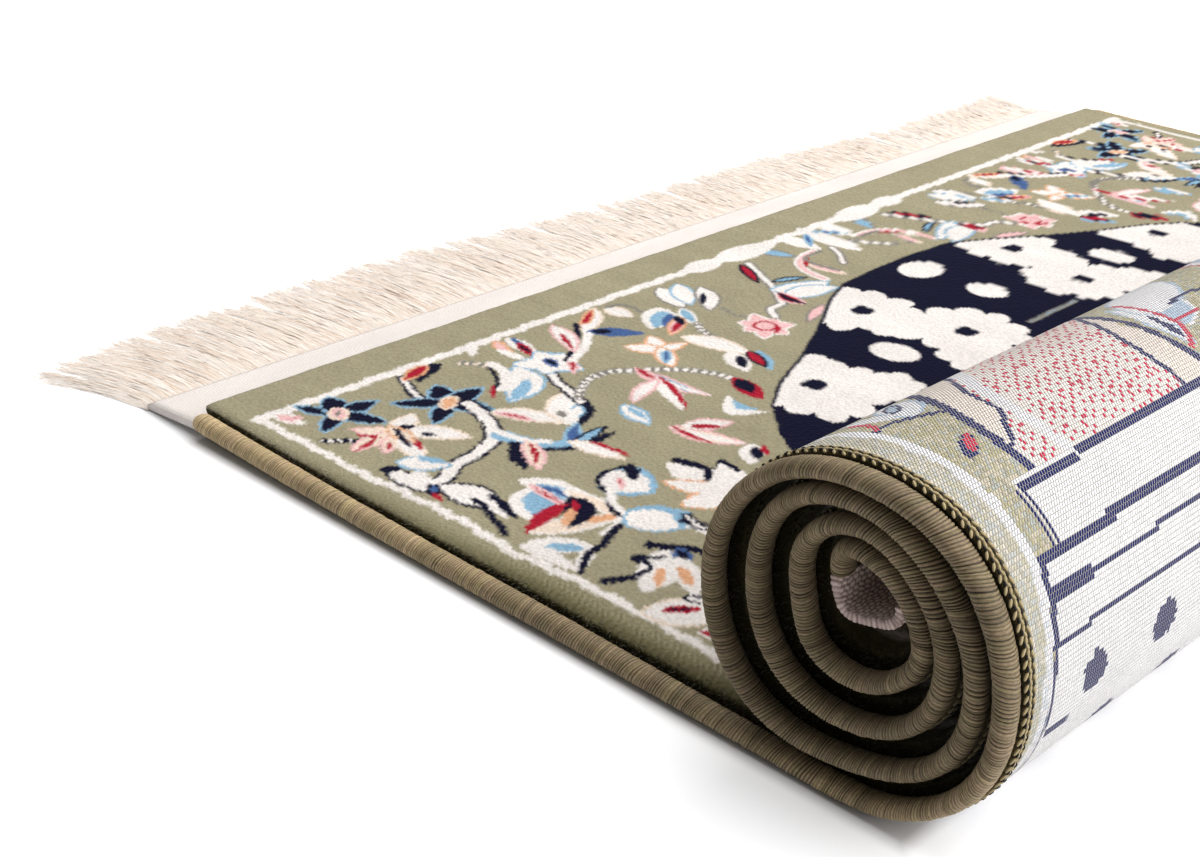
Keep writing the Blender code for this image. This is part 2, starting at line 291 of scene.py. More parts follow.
def underside():
    """The underside's line (x, z), and the places on it where the pile starts and ends."""
    strip_places = (-STRIP_LENGTH, -STRIP_LENGTH / 2, -STEP_AT_PILE, 0.0)
    strip = [(x, lift_at(x)) for x in strip_places]
    rise = [(x, lift_at(x)) for x in (STEP_AT_PILE, PILE_EDGE / 2, PILE_EDGE)]
    shares = np.linspace(0, 1, FLAT_STATIONS + 1)[1:]
    flat = [(x, lift_at(x)) for x in PILE_EDGE + (AXIS_X - PILE_EDGE) * shares]
    turns = [distance for turn in TURNS for distance in turn]
    rows_a_radian = ROWS_A_TURN / (2 * math.pi)
    last = (len(turns) - 1) / rows_a_radian
    roll = []
    for angle in np.arange(1, round(last / STEP_ANGLE) + 1) * STEP_ANGLE:
        reach = through(turns, angle * rows_a_radian)
        roll.append((AXIS_X + reach * math.sin(angle), AXIS_Z - reach * math.cos(angle)))
    run = np.subtract(roll[-1], roll[-2])
    curl, heading = bend(roll[-1], math.atan2(run[1], run[0]) + STEP_ANGLE / 2, CORE_CURL)
    flap, heading = bend(curl[-1], heading, CORE_FLAP)
    points = np.array(strip + rise + flat + roll + curl + flap)
    return points, len(strip) - 1, len(points) - len(flap) - 1


def nearest(point, start, stop):
    """How far a point is from the line through start and stop points, segment by segment."""
    run = stop - start
    share = ((point - start) * run).sum(axis=1) / (run * run).sum(axis=1)
    foot = start + np.clip(share, 0, 1)[:, None] * run
    return np.linalg.norm(point - foot, axis=1).min()


def rounded(share):
    """Height of a quarter circle at a share of the way from its foot to its top."""
    return np.sqrt(np.maximum(0.0, 1 - (1 - np.clip(share, 0, 1)) ** 2))


def room_over(foot, normal, others, least, most):
    """How tall the cloth can stand over a point of its underside before it meets the others."""
    height = least
    while height + HEIGHT_STEP <= most:
        top = foot + (height + HEIGHT_STEP) * normal
        if min(nearest(top, start, stop) for start, stop in others) < PILE_CLEARANCE:
            break
        height += HEIGHT_STEP
    return height


def evened(rooms):
    """The pile's heights with their jumps evened out, none of them raised."""
    spans = [slice(max(0, i - EVEN_REACH), i + EVEN_REACH + 1) for i in range(len(rooms))]
    low = [min(rooms[span]) for span in spans]
    return [min(room, sum(low[span]) / len(low[span])) for room, span in zip(rooms, spans)]


def unit_normals(line):
    """The cloth's upward direction at each point of its line."""
    along = np.gradient(line, axis=0)
    along /= np.linalg.norm(along, axis=1)[:, None]
    return np.stack((-along[:, 1], along[:, 0]), axis=1)


class Lie:
    """The way the cloth lies, read at any place along it."""

    def __init__(self, ground, full):
        self.line, start, stop = underside()
        self.up = unit_normals(self.line)
        run = np.linalg.norm(np.diff(self.line, axis=0), axis=1)
        place = np.concatenate(((0.0,), np.cumsum(run)))
        self.place = place - place[start]
        self.slope = np.gradient(self.line, self.place, axis=0)
        self.ground = ground
        self.height = self.heights(start, stop, full)
        self.pile_end = self.place[stop]

    def heights(self, start, stop, full):
        """Thickness of the cloth: full where it is free, pressed between turns."""
        line, up, place = self.line, self.up, self.place
        turned = np.unwrap(np.arctan2(up[:, 1], up[:, 0]))
        bend_rate = np.gradient(turned, place)
        piled = range(start + 1, stop)
        rooms = []
        for i in piled:
            most = min(full, PILE_BEND_SHARE / bend_rate[i]) if bend_rate[i] > BENT else full
            ahead = line[place > place[i] + NEXT_TURN]
            behind = line[place < place[i] - NEXT_TURN]
            others = [(turn[:-1], turn[1:]) for turn in (ahead, behind) if len(turn) > 1]
            for beside in (i - 1, i, i + 1):
                foot, normal = (line[i] + line[beside]) / 2, (up[i] + up[beside]) / 2
                most = room_over(foot, normal, others, self.ground, most)
            rooms.append(most)
        heights = np.full(len(line), self.ground)
        for i, room in zip(piled, evened(rooms)):
            edge = min(place[i] - place[start], place[stop] - place[i]) / PILE_EDGE
            heights[i] = self.ground + (room - self.ground) * rounded(edge)
        return heights

    def at(self, along):
        """Foot (x, z) on the underside, unit normal and thickness at places along the cloth."""
        i = np.clip(np.searchsorted(self.place, along, "right") - 1, 0, len(self.place) - 2)
        gap = self.place[i + 1] - self.place[i]
        t = ((along - self.place[i]) / gap)[..., None]
        run = gap[..., None]
        line, slope = self.line, self.slope
        foot = hermite(t, line[i], line[i + 1], slope[i] * run, slope[i + 1] * run)
        heading = slope[i] * (1 - t) + slope[i + 1] * t
        heading /= np.linalg.norm(heading, axis=-1, keepdims=True)
        normal = np.stack((-heading[..., 1], heading[..., 0]), axis=-1)
        return foot, normal, np.interp(along, self.place, self.height)

    def points(self, along, across, over):
        """World points at places along and across the cloth, some height over its underside."""
        along, across, over = np.broadcast_arrays(along, across, over)
        foot, normal, _ = self.at(along)
        spot = foot + over[..., None] * normal
        return np.stack((spot[..., 0] + CORNER[0], across + CORNER[1], spot[..., 1]), axis=-1)


def uneven(along, across):
    """A gentle unevenness from -1 to 1: waves whose lengths never fall in step."""
    waves = (
        np.sin(along * 61 + 1.3 * np.sin(across * 37)) + np.sin(across * 83 + 2.1 * np.sin(along * 29))
        + np.sin(along * 173 + across * 119) + np.sin(across * 211 - along * 97)
    )
    return waves / 4


def scatter(along, across):
    """A number from 0 to 1 for each knot, as good as random and the same each time."""
    return np.modf(abs(np.sin(along * 12.9898 + across * 78.233) * 43758.5453))[0]



# Meshes

def outward(points, faces):
    """Whether the faces of a shape turn outwards, by the volume that they enclose."""
    even = np.array([face for face in faces if len(face) == len(faces[0])])
    corners = points[even] - points.mean(axis=0)
    enclosed = 0.0
    for i in range(1, even.shape[1] - 1):
        enclosed += (corners[:, 0] * np.cross(corners[:, i], corners[:, i + 1])).sum()
    return enclosed > 0


def made_piece(name, points, faces, finish):
    """An object from points and faces, smooth all over."""
    mesh = bpy.data.meshes.new(name)
    mesh.from_pydata(points.tolist(), [], faces)
    mesh.materials.append(finish)
    mesh.shade_smooth()
    piece = bpy.data.objects.new(name, mesh)
    bpy.context.collection.objects.link(piece)
    return piece


def ring_faces(rows, columns):
    """Quads round the rings of a loft, then its two ends."""
    index = np.arange(rows * columns).reshape(rows, columns)
    after = np.roll(index, -1, axis=1)
    quads = np.stack((index[:-1], after[:-1], after[1:], index[1:]), axis=-1).reshape(-1, 4)
    return quads.tolist() + [index[0][::-1].tolist(), index[-1].tolist()]


def lofted(name, rings, finish):
    """A closed piece through rings of points: rows x columns x 3."""
    faces = ring_faces(*rings.shape[:2])
    points = rings.reshape(-1, 3)
    if not outward(points, faces):
        faces = [face[::-1] for face in faces]
    return made_piece(name, points, faces, finish)


def joined(name, groups, finish):
    """Many small closed shapes in one piece; each group holds the copies of one shape."""
    points, numbers, done = [], [], 0
    for shapes, faces in groups:
        count, corners = shapes.shape[:2]
        if not outward(shapes[0], faces):
            faces = [face[::-1] for face in faces]
        starts = range(done, done + count * corners, corners)
        numbers += [[start + corner for corner in face] for start in starts for face in faces]
        points.append(shapes.reshape(-1, 3))
        done += count * corners
    points = np.concatenate(points)
    points[:, 2] = np.maximum(points[:, 2], 0.0)
    return made_piece(name, points, numbers, finish)


def corner_points(mesh):
    """The point that each face corner stands on."""
    numbers = np.empty(len(mesh.loops), dtype=np.int32)
    mesh.loops.foreach_get("vertex_index", numbers)
    return numbers


def give_places(piece, along, across):
    """A UV map that holds the place of each point on the cloth."""
    layer = piece.data.uv_layers.new(name="cloth_place")
    places = np.stack((np.ravel(along), np.ravel(across)), axis=1)[corner_points(piece.data)]
    layer.data.foreach_set("uv", places.astype(np.float32).ravel())


def give_colours(piece, colours, domain="POINT", warp=1.0):
    """Yarn colours, with the painted light and shade that some pieces add to them, and how much warp
    and weft show between the knots.
    """
    layer = piece.data.color_attributes.new("yarn_colour_and_painted_light", "FLOAT_COLOR", domain)
    whole = np.concatenate((colours, np.broadcast_to(warp, (len(colours), 1))), axis=1)
    layer.data.foreach_set("color", whole.astype(np.float32).ravel())


def settle(piece, slot, *nodes):
    """Let a finished piece ride with the rug and stand for its solids; its slot is not used."""
    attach(piece, "root")
    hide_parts(*nodes)
    return piece


# The woven design, in millimetres: along the rug from the pile's flat end, across it from the
# near edge to the axis. The far half is the near half turned over.

AXIS = 364.0
FAR_HALF_SHARE = 344 / 316
PILE_LENGTH = 1230.0
END_LINE = ((18, 25.5), (130, 26.5), (250, 27.5), (360, 28.0))  # across and along
SIDE_LINE = (  # along and across
    (26, 18.0), (62, 20.0), (96, 20.0), (116, 22.5), (150, 24.0), (166, 23.0), (178, 21.6),
    (190, 22.8), (210, 24.5), (245, 25.0), (310, 22.2), (400, 17.5), (440, 20.0), (466, 23.3),
    (500, 24.3),
)
END_LINE_HALF = 2.8
SIDE_LINE_HALF = 2.0
BACK_SWAY = 0.3  # share of their wavering that the line's sides keep on the roll
KNOT = 1.5
PILE_KNOT = 1.8
PILE_SOFT = 1.0  # colours run into each other over this width on the pile
BACK_SOFT = 0.1  # and over this one on the back
RAGGED = 0.62  # how far the pile's knots stray over the drawn edges, at most
RAGGED_SHARE = ((120, 1.0), (240, 0.4))  # across, and the share of it there
PETAL_SHAPE = (0.75, 0.7)  # the first says where a petal is broadest, the second how full it is
LEAF_SHAPE = (0.85, 0.75)
PETAL_UNEVEN = 0.15  # how much longer or shorter than the others a petal is, at most
STREAK = 0.38  # a leaf's third colour, as a share of its breadth
FAR_OFF = 99.0  # farther than any edge

FLOWERS = (
    # the near corner
    Leaf(26, 25, 41, 28, 8, "white/pink", 1), Leaf(32, 24, 36, 33, 4, "pink/red"),
    Leaf(36, 28, 42, 30, 3, "white"),
    # two star-shaped flowers
    Leaf(44, 47, 24, 36, 9, "light_blue/navy", 1), Leaf(43, 47, 54, 30, 10, "light_blue/navy", -1),
    Leaf(44, 46, 26, 52, 13, "light_blue/navy"), Leaf(43, 46, 44, 66, 11, "light_blue/navy"),
    Leaf(41, 46, 64, 56, 11, "light_blue/navy", -1), Leaf(37, 48, 50, 43, 9, "cream/pink"),
    Leaf(40, 48, 45, 44, 2.4, "grey"),
    Stem(((33, 87), (41, 84), (49, 81), (57, 80)), 5.4, "navy/white"),
    Leaf(67, 85, 47, 94, 13, "light_blue/navy"), Leaf(67, 87, 49, 67, 11, "light_blue/navy"),
    Leaf(65, 87, 78, 68, 11, "light_blue/navy"), Leaf(63, 85, 85, 96, 12, "light_blue/navy"),
    Leaf(65, 84, 64, 108, 12, "light_blue/navy"), Leaf(62, 92, 70, 80, 8.5, "cream/peach"),
    # a red and cream flower
    Stem(((59, 26), (63, 30), (68, 36)), 4.2, "navy+white"),
    Leaf(75, 53, 58, 40, 10, "pink/cream"), Leaf(71, 51, 74, 28, 10, "pink/cream"),
    Leaf(74, 51, 85, 37, 8, "pink/cream"), Leaf(63, 39, 73, 45, 2.2, "red"),
    Leaf(70, 45, 75, 30, 2.4, "red", 1), Leaf(79, 45, 83, 40, 2.2, "red"),
    Leaf(73, 52, 64, 69, 12, "cream/white"), Leaf(72, 53, 98, 72, 13, "cream/white", 2),
    Leaf(76, 52, 100, 46, 11, "cream/white", -1), Leaf(66, 54, 85, 52, 9, "peach/cream"),
    Stem(((71, 54), (78, 51), (86, 49)), 2.2, "navy"), Leaf(83, 55, 93, 49, 3, "red"),
    Leaf(70, 57, 75, 62, 3.4, "navy"), Leaf(81, 59, 86, 63, 3.4, "navy"),
    # a white stem, its foot and its leaves
    Stem(((72, 92), (85, 89), (96, 84), (105, 76), (110, 64), (112, 51), (118, 40), (116, 31)),
          8.4, "navy/white"),
    Leaf(95, 30, 126, 31, 11, "navy/white", -1), Leaf(95, 26, 100, 36, 5.4, "navy"),
    Leaf(105, 37, 120, 28, 9, "white"), Leaf(93, 36, 112, 50, 13, "light_blue/white"),
    Leaf(97, 44, 108, 50, 4, "light_blue"), Leaf(119, 35, 127, 28, 6, "navy/blue"),
    Leaf(124, 30, 132, 28, 3, "red"), Leaf(32, 110, 41, 89, 8, "navy", -2),
    Leaf(29, 104, 36, 85, 8.5, "peach/red"),
    Stem(((38, 116), (42, 120), (49, 124)), 4.4, "grey+cream"),
    Leaf(57, 133, 83, 105, 19, "light_blue/white", 5), Leaf(71, 127, 82, 106, 7, "light_blue", 1),
    Stem(((47, 126), (56, 125), (64, 120), (71, 112)), 5, "white"),
    Stem(((51, 122), (58, 119), (64, 115), (71, 107)), 2.2, "navy"),
    Leaf(65, 112, 75, 103, 3, "red"), Leaf(92, 131, 113, 105, 16, "cream/white"),
    Leaf(100, 131, 115, 123, 7, "navy", -1), Leaf(108, 129, 120, 109, 9, "navy", -1),
    Leaf(104, 126, 115, 113, 7, "light_blue/white"), Leaf(102, 119, 118, 109, 10, "white"),
    Leaf(103, 116, 109, 112, 3.6, "grey"), Leaf(84, 93, 113, 109, 12, "cream/white", 2),
    Leaf(86, 94, 104, 101, 4.8, "pink/red", 1),
    Stem(((104, 82), (115, 85), (124, 90), (132, 99)), 8.4, "light_blue"),
    Stem(((97, 83), (107, 84), (116, 87), (122, 92)), 3.6, "white"),
    Leaf(131, 96, 116, 113, 8, "light_blue/blue"),
    Leaf(131, 97, 127, 120, 7, "navy/light_blue"), Leaf(134, 97, 134, 119, 5, "navy"),
    Stem(((112, 80), (122, 84), (130, 90), (135, 99)), 2.8, "navy"),
    Leaf(113, 83, 134, 69, 9, "navy", -1), Leaf(115, 86, 138, 72, 9.4, "pink/cream", 1),
    Leaf(118, 85, 134, 74, 2.8, "red", 1),
    # along the near side
    Leaf(121, 36, 153, 41, 17, "navy/white", 1), Leaf(140, 45, 162, 40, 6, "navy", -1),
    Leaf(136, 41, 153, 37, 7, "white"),
    Stem(((139, 38), (149, 36), (155, 33), (162, 31), (168, 28)), 3.2, "navy"),
    Leaf(145, 40, 159, 37, 3.6, "white"), Leaf(149, 65, 166, 42, 23, "white"),
    Leaf(138, 61, 173, 67, 12, "white", 3), Leaf(152, 64, 165, 46, 16, "light_blue"),
    Leaf(145, 62, 172, 66, 7, "light_blue/blue", 2), Leaf(172, 36, 187, 69, 13, "white/cream"),
    Leaf(156, 68, 191, 68, 9, "white/cream", 1), Leaf(180, 56, 187, 70, 5, "peach"),
    Leaf(143, 62, 172, 60, 4.4, "pink/red", -1), Leaf(163, 67, 180, 49, 13, "navy", 3),
    Leaf(165, 61, 172, 34, 7.4, "red", -1), Leaf(170, 60, 178, 48, 4.6, "peach"),
    Leaf(165, 65, 173, 59, 3.4, "red"), Leaf(156, 89, 183, 91, 24, "light_blue"),
    Leaf(159, 101, 179, 83, 18, "light_blue"), Leaf(157, 88, 180, 91, 18.5, "white"),
    Leaf(158, 102, 170, 93, 6.5, "navy"), Leaf(163, 91, 172, 84, 3.6, "pink/red"),
    Stem(((159, 99), (157, 91), (159, 84), (164, 80), (171, 78), (179, 71), (190, 67)),
          2.4, "navy"),
    Stem(((169, 81), (176, 75), (184, 72), (192, 70)), 3.4, "white"),
    Leaf(185, 74, 211, 79, 21, "light_blue"), Leaf(190, 65, 204, 89, 18, "light_blue"),
    Leaf(187, 72, 208, 77, 16, "white"), Leaf(193, 66, 200, 84, 10, "white"),
    Stem(((206, 83), (211, 85), (217, 84)), 4, "navy"), Stem(((211, 81), (218, 82)), 3, "white"),
    Leaf(178, 29, 199, 45, 12, "white", 1), Leaf(184, 33, 198, 43, 5.6, "light_blue"),
    Leaf(177, 27, 207, 29, 7, "white", 1), Leaf(196, 44, 206, 29, 6, "white"),
    Stem(((188, 67), (191, 61), (192, 54)), 3, "white"),
    Stem(((192, 63), (195, 55), (198, 48), (199, 41), (203, 34), (207, 29)), 3, "navy"),
    Leaf(127, 98, 155, 103, 10, "cream/white", 1), Leaf(133, 104, 155, 106, 2.8, "red", 1),
    Leaf(206, 111, 166, 118, 15, "navy"), Leaf(205, 114, 180, 131, 12, "navy"),
    Leaf(206, 109, 168, 113, 15, "white"), Leaf(205, 111, 183, 128, 12, "white"),
    Leaf(203, 110, 193, 129, 12, "white"), Leaf(205, 112, 177, 100, 13, "peach/white"),
    Leaf(206, 113, 196, 90, 16, "peach/white"), Leaf(194, 104, 206, 116, 22, "white"),
    Leaf(183, 122, 190, 112, 3.6, "navy"),
    Stem(((209, 61), (215, 63), (219, 57), (213, 50), (220, 49), (222, 41), (217, 31)),
          3.8, "navy"),
    Stem(((210, 60), (217, 66), (224, 70), (231, 70)), 3.6, "navy"),
    Leaf(217, 63, 232, 35, 16, "white", 1), Leaf(218, 66, 229, 61, 7, "blue/navy"),
    Leaf(223, 62, 247, 46, 10, "white"), Leaf(228, 57, 240, 50, 4.4, "peach"),
    Leaf(224, 52, 233, 41, 4.4, "peach"),
    Stem(((219, 57), (216, 52), (221, 49), (222, 42), (218, 31)), 2.4, "navy"),
    Leaf(240, 26, 263, 44, 19, "cream/white", 1), Leaf(244, 31, 253, 42, 5, "red/navy"),
    # towards the flat end
    Leaf(23, 135, 36, 125, 6, "white"), Leaf(30, 150, 54, 146, 9, "white", 1),
    Leaf(31, 152, 45, 149, 3, "blue"), Leaf(38, 150, 54, 145, 5, "red/navy"),
    Leaf(29, 144, 46, 140, 7, "peach/pink", -1), Leaf(36, 138, 55, 140, 5, "white"),
    Stem(((71, 140), (80, 135), (91, 132), (103, 128)), 6.2, "navy/white"),
    Blossom(5, 64, 146, 15, 13, 20, 0, "light_blue/white"),
    Leaf(59, 148, 70, 145, 6, "blue/navy"), Leaf(66, 157, 80, 146, 5, "pink/red"),
    Stem(((99, 130), (91, 141), (88, 149), (89, 159), (95, 167), (102, 176), (112, 186),
          (122, 191), (134, 193)), 5, "grey+white"),
    Leaf(31, 205, 50, 182, 10, "cream/white", 1), Leaf(32, 203, 45, 183, 6, "peach/red"),
    Stem(((40, 185), (50, 176), (59, 165), (67, 153)), 3, "navy"),
    Stem(((44, 187), (54, 179), (63, 167), (69, 155)), 4.4, "white"),
    Leaf(33, 175, 63, 162, 11, "pink/white", 2), Leaf(43, 172, 60, 164, 2.8, "red"),
    Leaf(49, 183, 69, 201, 10, "blue"), Leaf(51, 184, 57, 192, 6, "navy"),
    Leaf(90, 191, 72, 201, 11, "peach/white"), Leaf(90, 194, 72, 183, 11, "peach/white"),
    Leaf(87, 190, 90, 208, 9, "peach/white"), Leaf(85, 195, 105, 182, 11, "peach/white"),
    Leaf(89, 195, 100, 183, 5, "light_blue/blue"), Leaf(34, 209, 52, 211, 11, "cream/white"),
    Stem(((35, 210), (36, 216), (43, 219), (52, 218)), 2.8, "grey"),
    Leaf(52, 229, 67, 207, 18, "white", 2), Leaf(56, 227, 67, 210, 11, "light_blue", 1),
    Leaf(59, 236, 78, 226, 8, "white/light_blue"), Leaf(61, 227, 71, 213, 6, "blue"),
    Leaf(67, 228, 79, 208, 9, "peach/pink"), Leaf(70, 225, 77, 211, 3.6, "red"),
    Leaf(64, 227, 75, 221, 4.6, "navy"),
    Stem(((78, 227), (85, 223), (93, 221)), 4.4, "grey+white"),
    Leaf(83, 211, 119, 219, 14, "cream/white", 2),
    Leaf(94, 169, 137, 173, 9, "pink/light_blue/white", -2),
    Leaf(104, 169, 139, 153, 9, "white", 2), Leaf(106, 171, 139, 155, 3.2, "red", 2),
    Leaf(110, 169, 119, 143, 9, "pink/white", -2), Leaf(93, 170, 111, 167, 6, "pink/red"),
    Leaf(117, 139, 139, 133, 11, "light_blue/white"),
    Leaf(120, 139, 134, 136, 4, "light_blue"), Leaf(142, 178, 165, 179, 10, "white", -9),
    Leaf(146, 177, 160, 178, 5, "light_blue", -4),
    Leaf(145, 138, 179, 149, 11, "pink/cream/white", -2),
    Leaf(149, 141, 161, 160, 12, "pink/white"), Leaf(151, 144, 161, 154, 4.4, "red"),
    Leaf(146, 139, 169, 139, 3, "red", -1), Leaf(131, 194, 154, 186, 11, "red"),
    Leaf(133, 194, 147, 188, 8.4, "navy"), Leaf(180, 150, 192, 136, 10, "white"),
    Leaf(182, 149, 192, 141, 5, "navy"), Leaf(184, 152, 192, 146, 3, "red"),
    Leaf(110, 214, 131, 203, 11, "white"), Leaf(118, 224, 137, 212, 8, "light_blue"),
    Leaf(115, 221, 133, 213, 8, "navy/red"), Leaf(116, 214, 127, 205, 5, "navy"),
    # towards the axis
    Leaf(33, 247, 61, 237, 14, "grey/white"), Leaf(36, 257, 60, 242, 13, "light_blue/white"),
    Leaf(46, 263, 71, 243, 13, "grey/white", 2), Leaf(53, 258, 63, 247, 3.6, "navy"),
    Stem(((72, 251), (80, 249), (87, 250)), 3, "grey+olive"),
    Blossom(7, 101, 249, 14, 11, 0, 6, "white/pink|red/pink"),
    Leaf(104, 254, 110, 245, 3, "red", 1),
    Stem(((97, 261), (89, 267), (88, 276), (81, 282), (70, 290), (56, 297), (41, 305)),
          6, "grey/white"),
    Leaf(39, 301, 63, 288, 7, "navy/red"), Leaf(73, 285, 85, 317, 15, "light_blue/white", -2),
    Leaf(83, 283, 93, 314, 16, "light_blue/white", 2),
    Leaf(66, 294, 74, 313, 6, "navy/light_blue", 1),
    Leaf(77, 286, 97, 285, 9, "pink/red/navy", -2), Leaf(102, 291, 112, 266, 8, "grey/pink"),
    Leaf(30, 322, 52, 331, 10, "grey/light_blue"),
    Stem(((52, 344), (53, 335), (58, 325), (68, 319), (81, 317)), 5.6, "white/pink"),
    Leaf(54, 336, 64, 323, 3.4, "red"), Leaf(62, 327, 85, 331, 7, "cream/pink"),
    Stem(((54, 347), (54, 339), (56, 332), (65, 330), (78, 332)), 2.6, "grey"),
    Stem(((55, 355), (63, 351), (73, 342)), 5.4, "grey/white"),
    Leaf(24, 347, 53, 349, 12, "white"), Leaf(22, 366, 68, 363, 16, "white"),
    Leaf(32, 361, 47, 348, 5, "light_blue/blue"), Leaf(28, 272, 28, 300, 14, "white"),
    Leaf(28, 294, 30, 340, 17, "white"),
    # beside and beyond the dome's foot, inside the roll
    Blossom(7, 246, 100, 18, 12, 30, 5, "navy/white|light_blue"),
    Blossom(6, 300, 50, 18, 13, 30, 5, "peach/cream|red"),
    Leaf(262, 30, 290, 40, 12, "white/red", 3), Leaf(284, 74, 300, 96, 12, "white/light_blue", 3),
    Stem(((204, 86), (214, 84), (226, 92), (240, 96)), 4.6, "navy/white"),
    Stem(((246, 44), (262, 54), (270, 72), (264, 90), (250, 98)), 5.6, "navy/white"),
    Stem(((236, 104), (258, 112), (282, 100), (300, 76), (304, 52)), 5.6, "navy/white"),
)

# The dome: its edge across and along the rug, and what lies in it
DOME_EDGE = (
    (136, 300), (140, 235), (150, 205), (165, 182), (185, 160), (205, 147), (232, 136),
    (262, 121), (279, 111), (299, 99), (319, 91), (349, 89), (364, 89),
)
DOME_SLOPE = 0.75
CLOUDS = (
    Cloud(11, 166, 212, 31, 10), Cloud(10, 119, 298, 28, 0), Cloud(10, 170, 314, 29, 20),
    Cloud(7, 146, 298, 19, 0), Cloud(7, 184, 236, 16, 0), Cloud(8, 192, 292, 20, 0),
    Cloud(7, 143, 228, 14, 0), Cloud(10, 232, 250, 27, 0), Cloud(10, 226, 330, 27, 0),
    Cloud(10, 286, 222, 27, 0), Cloud(10, 290, 300, 27, 0),
)
LOBE_DEPTH = 0.20
EYES = (
    (160, 214), (120, 298), (170, 312), (232, 250), (226, 330), (286, 222), (290, 300),
)
EYE_REACH = 5.8
DOME_OVALS = (
    Oval(162, 268, 12.5, 9.5), Oval(106, 364, 11, 13), Oval(146, 367, 12, 12),
    Oval(214, 364, 11, 11), Oval(258, 364, 11, 11), Oval(208, 216, 11, 9),
    Oval(258, 280, 12, 9), Oval(302, 364, 11, 11),
)
DOME_THREAD = Stem(((178, 386), (182, 372), (184, 358), (184, 344)), 3.2, "grey/light_blue")

# The panel beyond the dome
PANEL_STARTS = 340.0
PANEL_EDGE = ((340, 19), (412, 20.5), (440, 22.5), (466, 26.5), (467, 35.5), (485, 35.5))
PANEL_LINE = (350, 465)  # the navy line inside its edge, from and to along the rug
PANEL_LINE_INSET = 0.7
PANEL_LINE_HALF = 0.8
PANEL_OVAL_ROWS = ((352, 44.0), (374, 25.5), (398, 62.5), (426, 44.0))
PANEL_OVAL_PITCH = 37.0
PANEL_OVAL_HALF = (6.4, 6.0)
OVAL_UNEVEN = 1.5
PANEL_RULES = (
    Rule(441.75, 22, 441.75, 40, 1.54), Rule(443.25, 40, 443.25, 100, 1.54),
    Rule(444.75, 100, 444.75, 364, 1.54),
    Rule(455.25, 26, 455.25, 44, 4.54), Rule(455.25, 44, 455.25, 80, 1.54),
    Rule(456.75, 80, 456.75, 364, 1.54),
    Rule(465.0, 27, 465.0, 62, 3.04), Rule(466.5, 61, 466.5, 364, 3.04),
    Rule(414.0, 24, 414.0, 33, 3.04),
    Rule(484.5, 37, 484.5, 64, 3.04), Rule(486.0, 67, 486.0, 364, 3.04),
    Rule(467, 34.3, 484, 34.3, 1.24), Rule(467, 36.7, 484, 36.7, 1.24),
    Rule(441.0, 23.5, 466.0, 26.4, 2.6),
)

# The arch beyond the panel
ARCH_STARTS = 487.5
ARCH_HEIGHT = 168.0
ARCH_HALF = 320.0
ARCH_LINE = 0.988  # inner edge of the arch's navy line, and like the next three a share of the arch
DASHES_START = 0.980
DASHES_END = 0.738
INNER_LINE = 0.731
DASH_PITCH = (3.9, 3.1)  # along and across
DASH_STEP = 0.4  # each lane of dashes is shifted from the last, in pitches along
DASH_STRAY = 0.3  # and by up to this much more
DASH_SLANT = 1.4  # across, over one pitch along
DASH_LENGTH = (0.36, 0.34)  # in pitches: the shortest dash, and how much longer others are
DASH_BREADTH = 0.42  # in pitches
DASH_HELD = 0.93  # share of the places that hold a dash
SPANDREL = ((497, 49), (500, 53), (505, 57), (510, 62), (516, 64), (523, 66), (530, 71), (545, 84),
            (560, 100), (590, 140), (625, 210), (640, 300), (642, 364))
ARCH_SIDE = ((485, 146), (500, 146), (510, 147), (520, 148.5), (530, 150), (545, 156), (562, 170),
             (580, 200), (592, 240), (600, 300), (602, 364))
ARCH_STEMS = (
    Stem(((487, 64.5), (500, 64.5), (510, 66.5), (520, 70), (530, 76), (540, 84), (552, 96)), 4.6,
         "white"),
    Stem(SPANDREL, 1.7, "navy"),
    Stem(ARCH_SIDE, 3.0, "navy"),
    Stem(((498, 150), (505, 158), (512, 161), (522, 163), (536, 166)), 1.9, "red"),
    Stem(((510, 160), (510.5, 176)), 1.6, "red"),
    Stem(((520, 174), (521, 184), (520, 196)), 1.8, "navy"),
    Stem(((522, 50), (526, 42), (529, 34), (528, 27)), 2.2, "navy"),
    Stem(((529, 29), (534, 32), (542, 33)), 2.2, "red"),
)
ARCH_LEAVES = (
    Leaf(499, 32, 509, 44, 5.6, "navy"),
    Leaf(501, 36, 508.5, 43, 3.6, "red"),
    Leaf(526, 43, 551, 58, 15, "light_blue/white"),
    Leaf(530, 40, 549, 36, 8, "white"),
    Leaf(534, 44, 546, 56, 6, "navy/light_blue"),
    Leaf(552, 62, 570, 52, 9, "navy/white/red", 2),
    Leaf(556, 40, 576, 36, 8, "red/cream", 2),
    Leaf(588, 44, 604, 60, 9, "navy/light_blue", 2),
    Leaf(610, 34, 628, 48, 10, "navy/white/red", 2),
    Leaf(640, 60, 660, 44, 11, "navy/cream/red", 3),
    Leaf(498, 152, 536, 160, 10, "light_blue/white"),
    Leaf(502, 153, 519, 158, 3.4, "navy"),
    Leaf(514, 146, 530, 154, 7, "olive"),
    Leaf(507, 160, 530, 182, 17, "white/light_blue"),
    Leaf(520, 158, 548, 206, 26, "light_blue/white"),
    Leaf(500, 196, 520, 232, 16, "navy/light_blue/white", 2),
    Leaf(522, 226, 556, 250, 18, "red/white/light_blue", -3),
    Leaf(500, 262, 530, 292, 18, "navy/white/red", 3),
    Leaf(540, 290, 572, 330, 20, "navy/light_blue/white", 3),
    Leaf(504, 318, 540, 352, 18, "red/cream/light_blue", -2),
    Leaf(556, 230, 584, 280, 18, "light_blue/white/navy", -2),
)
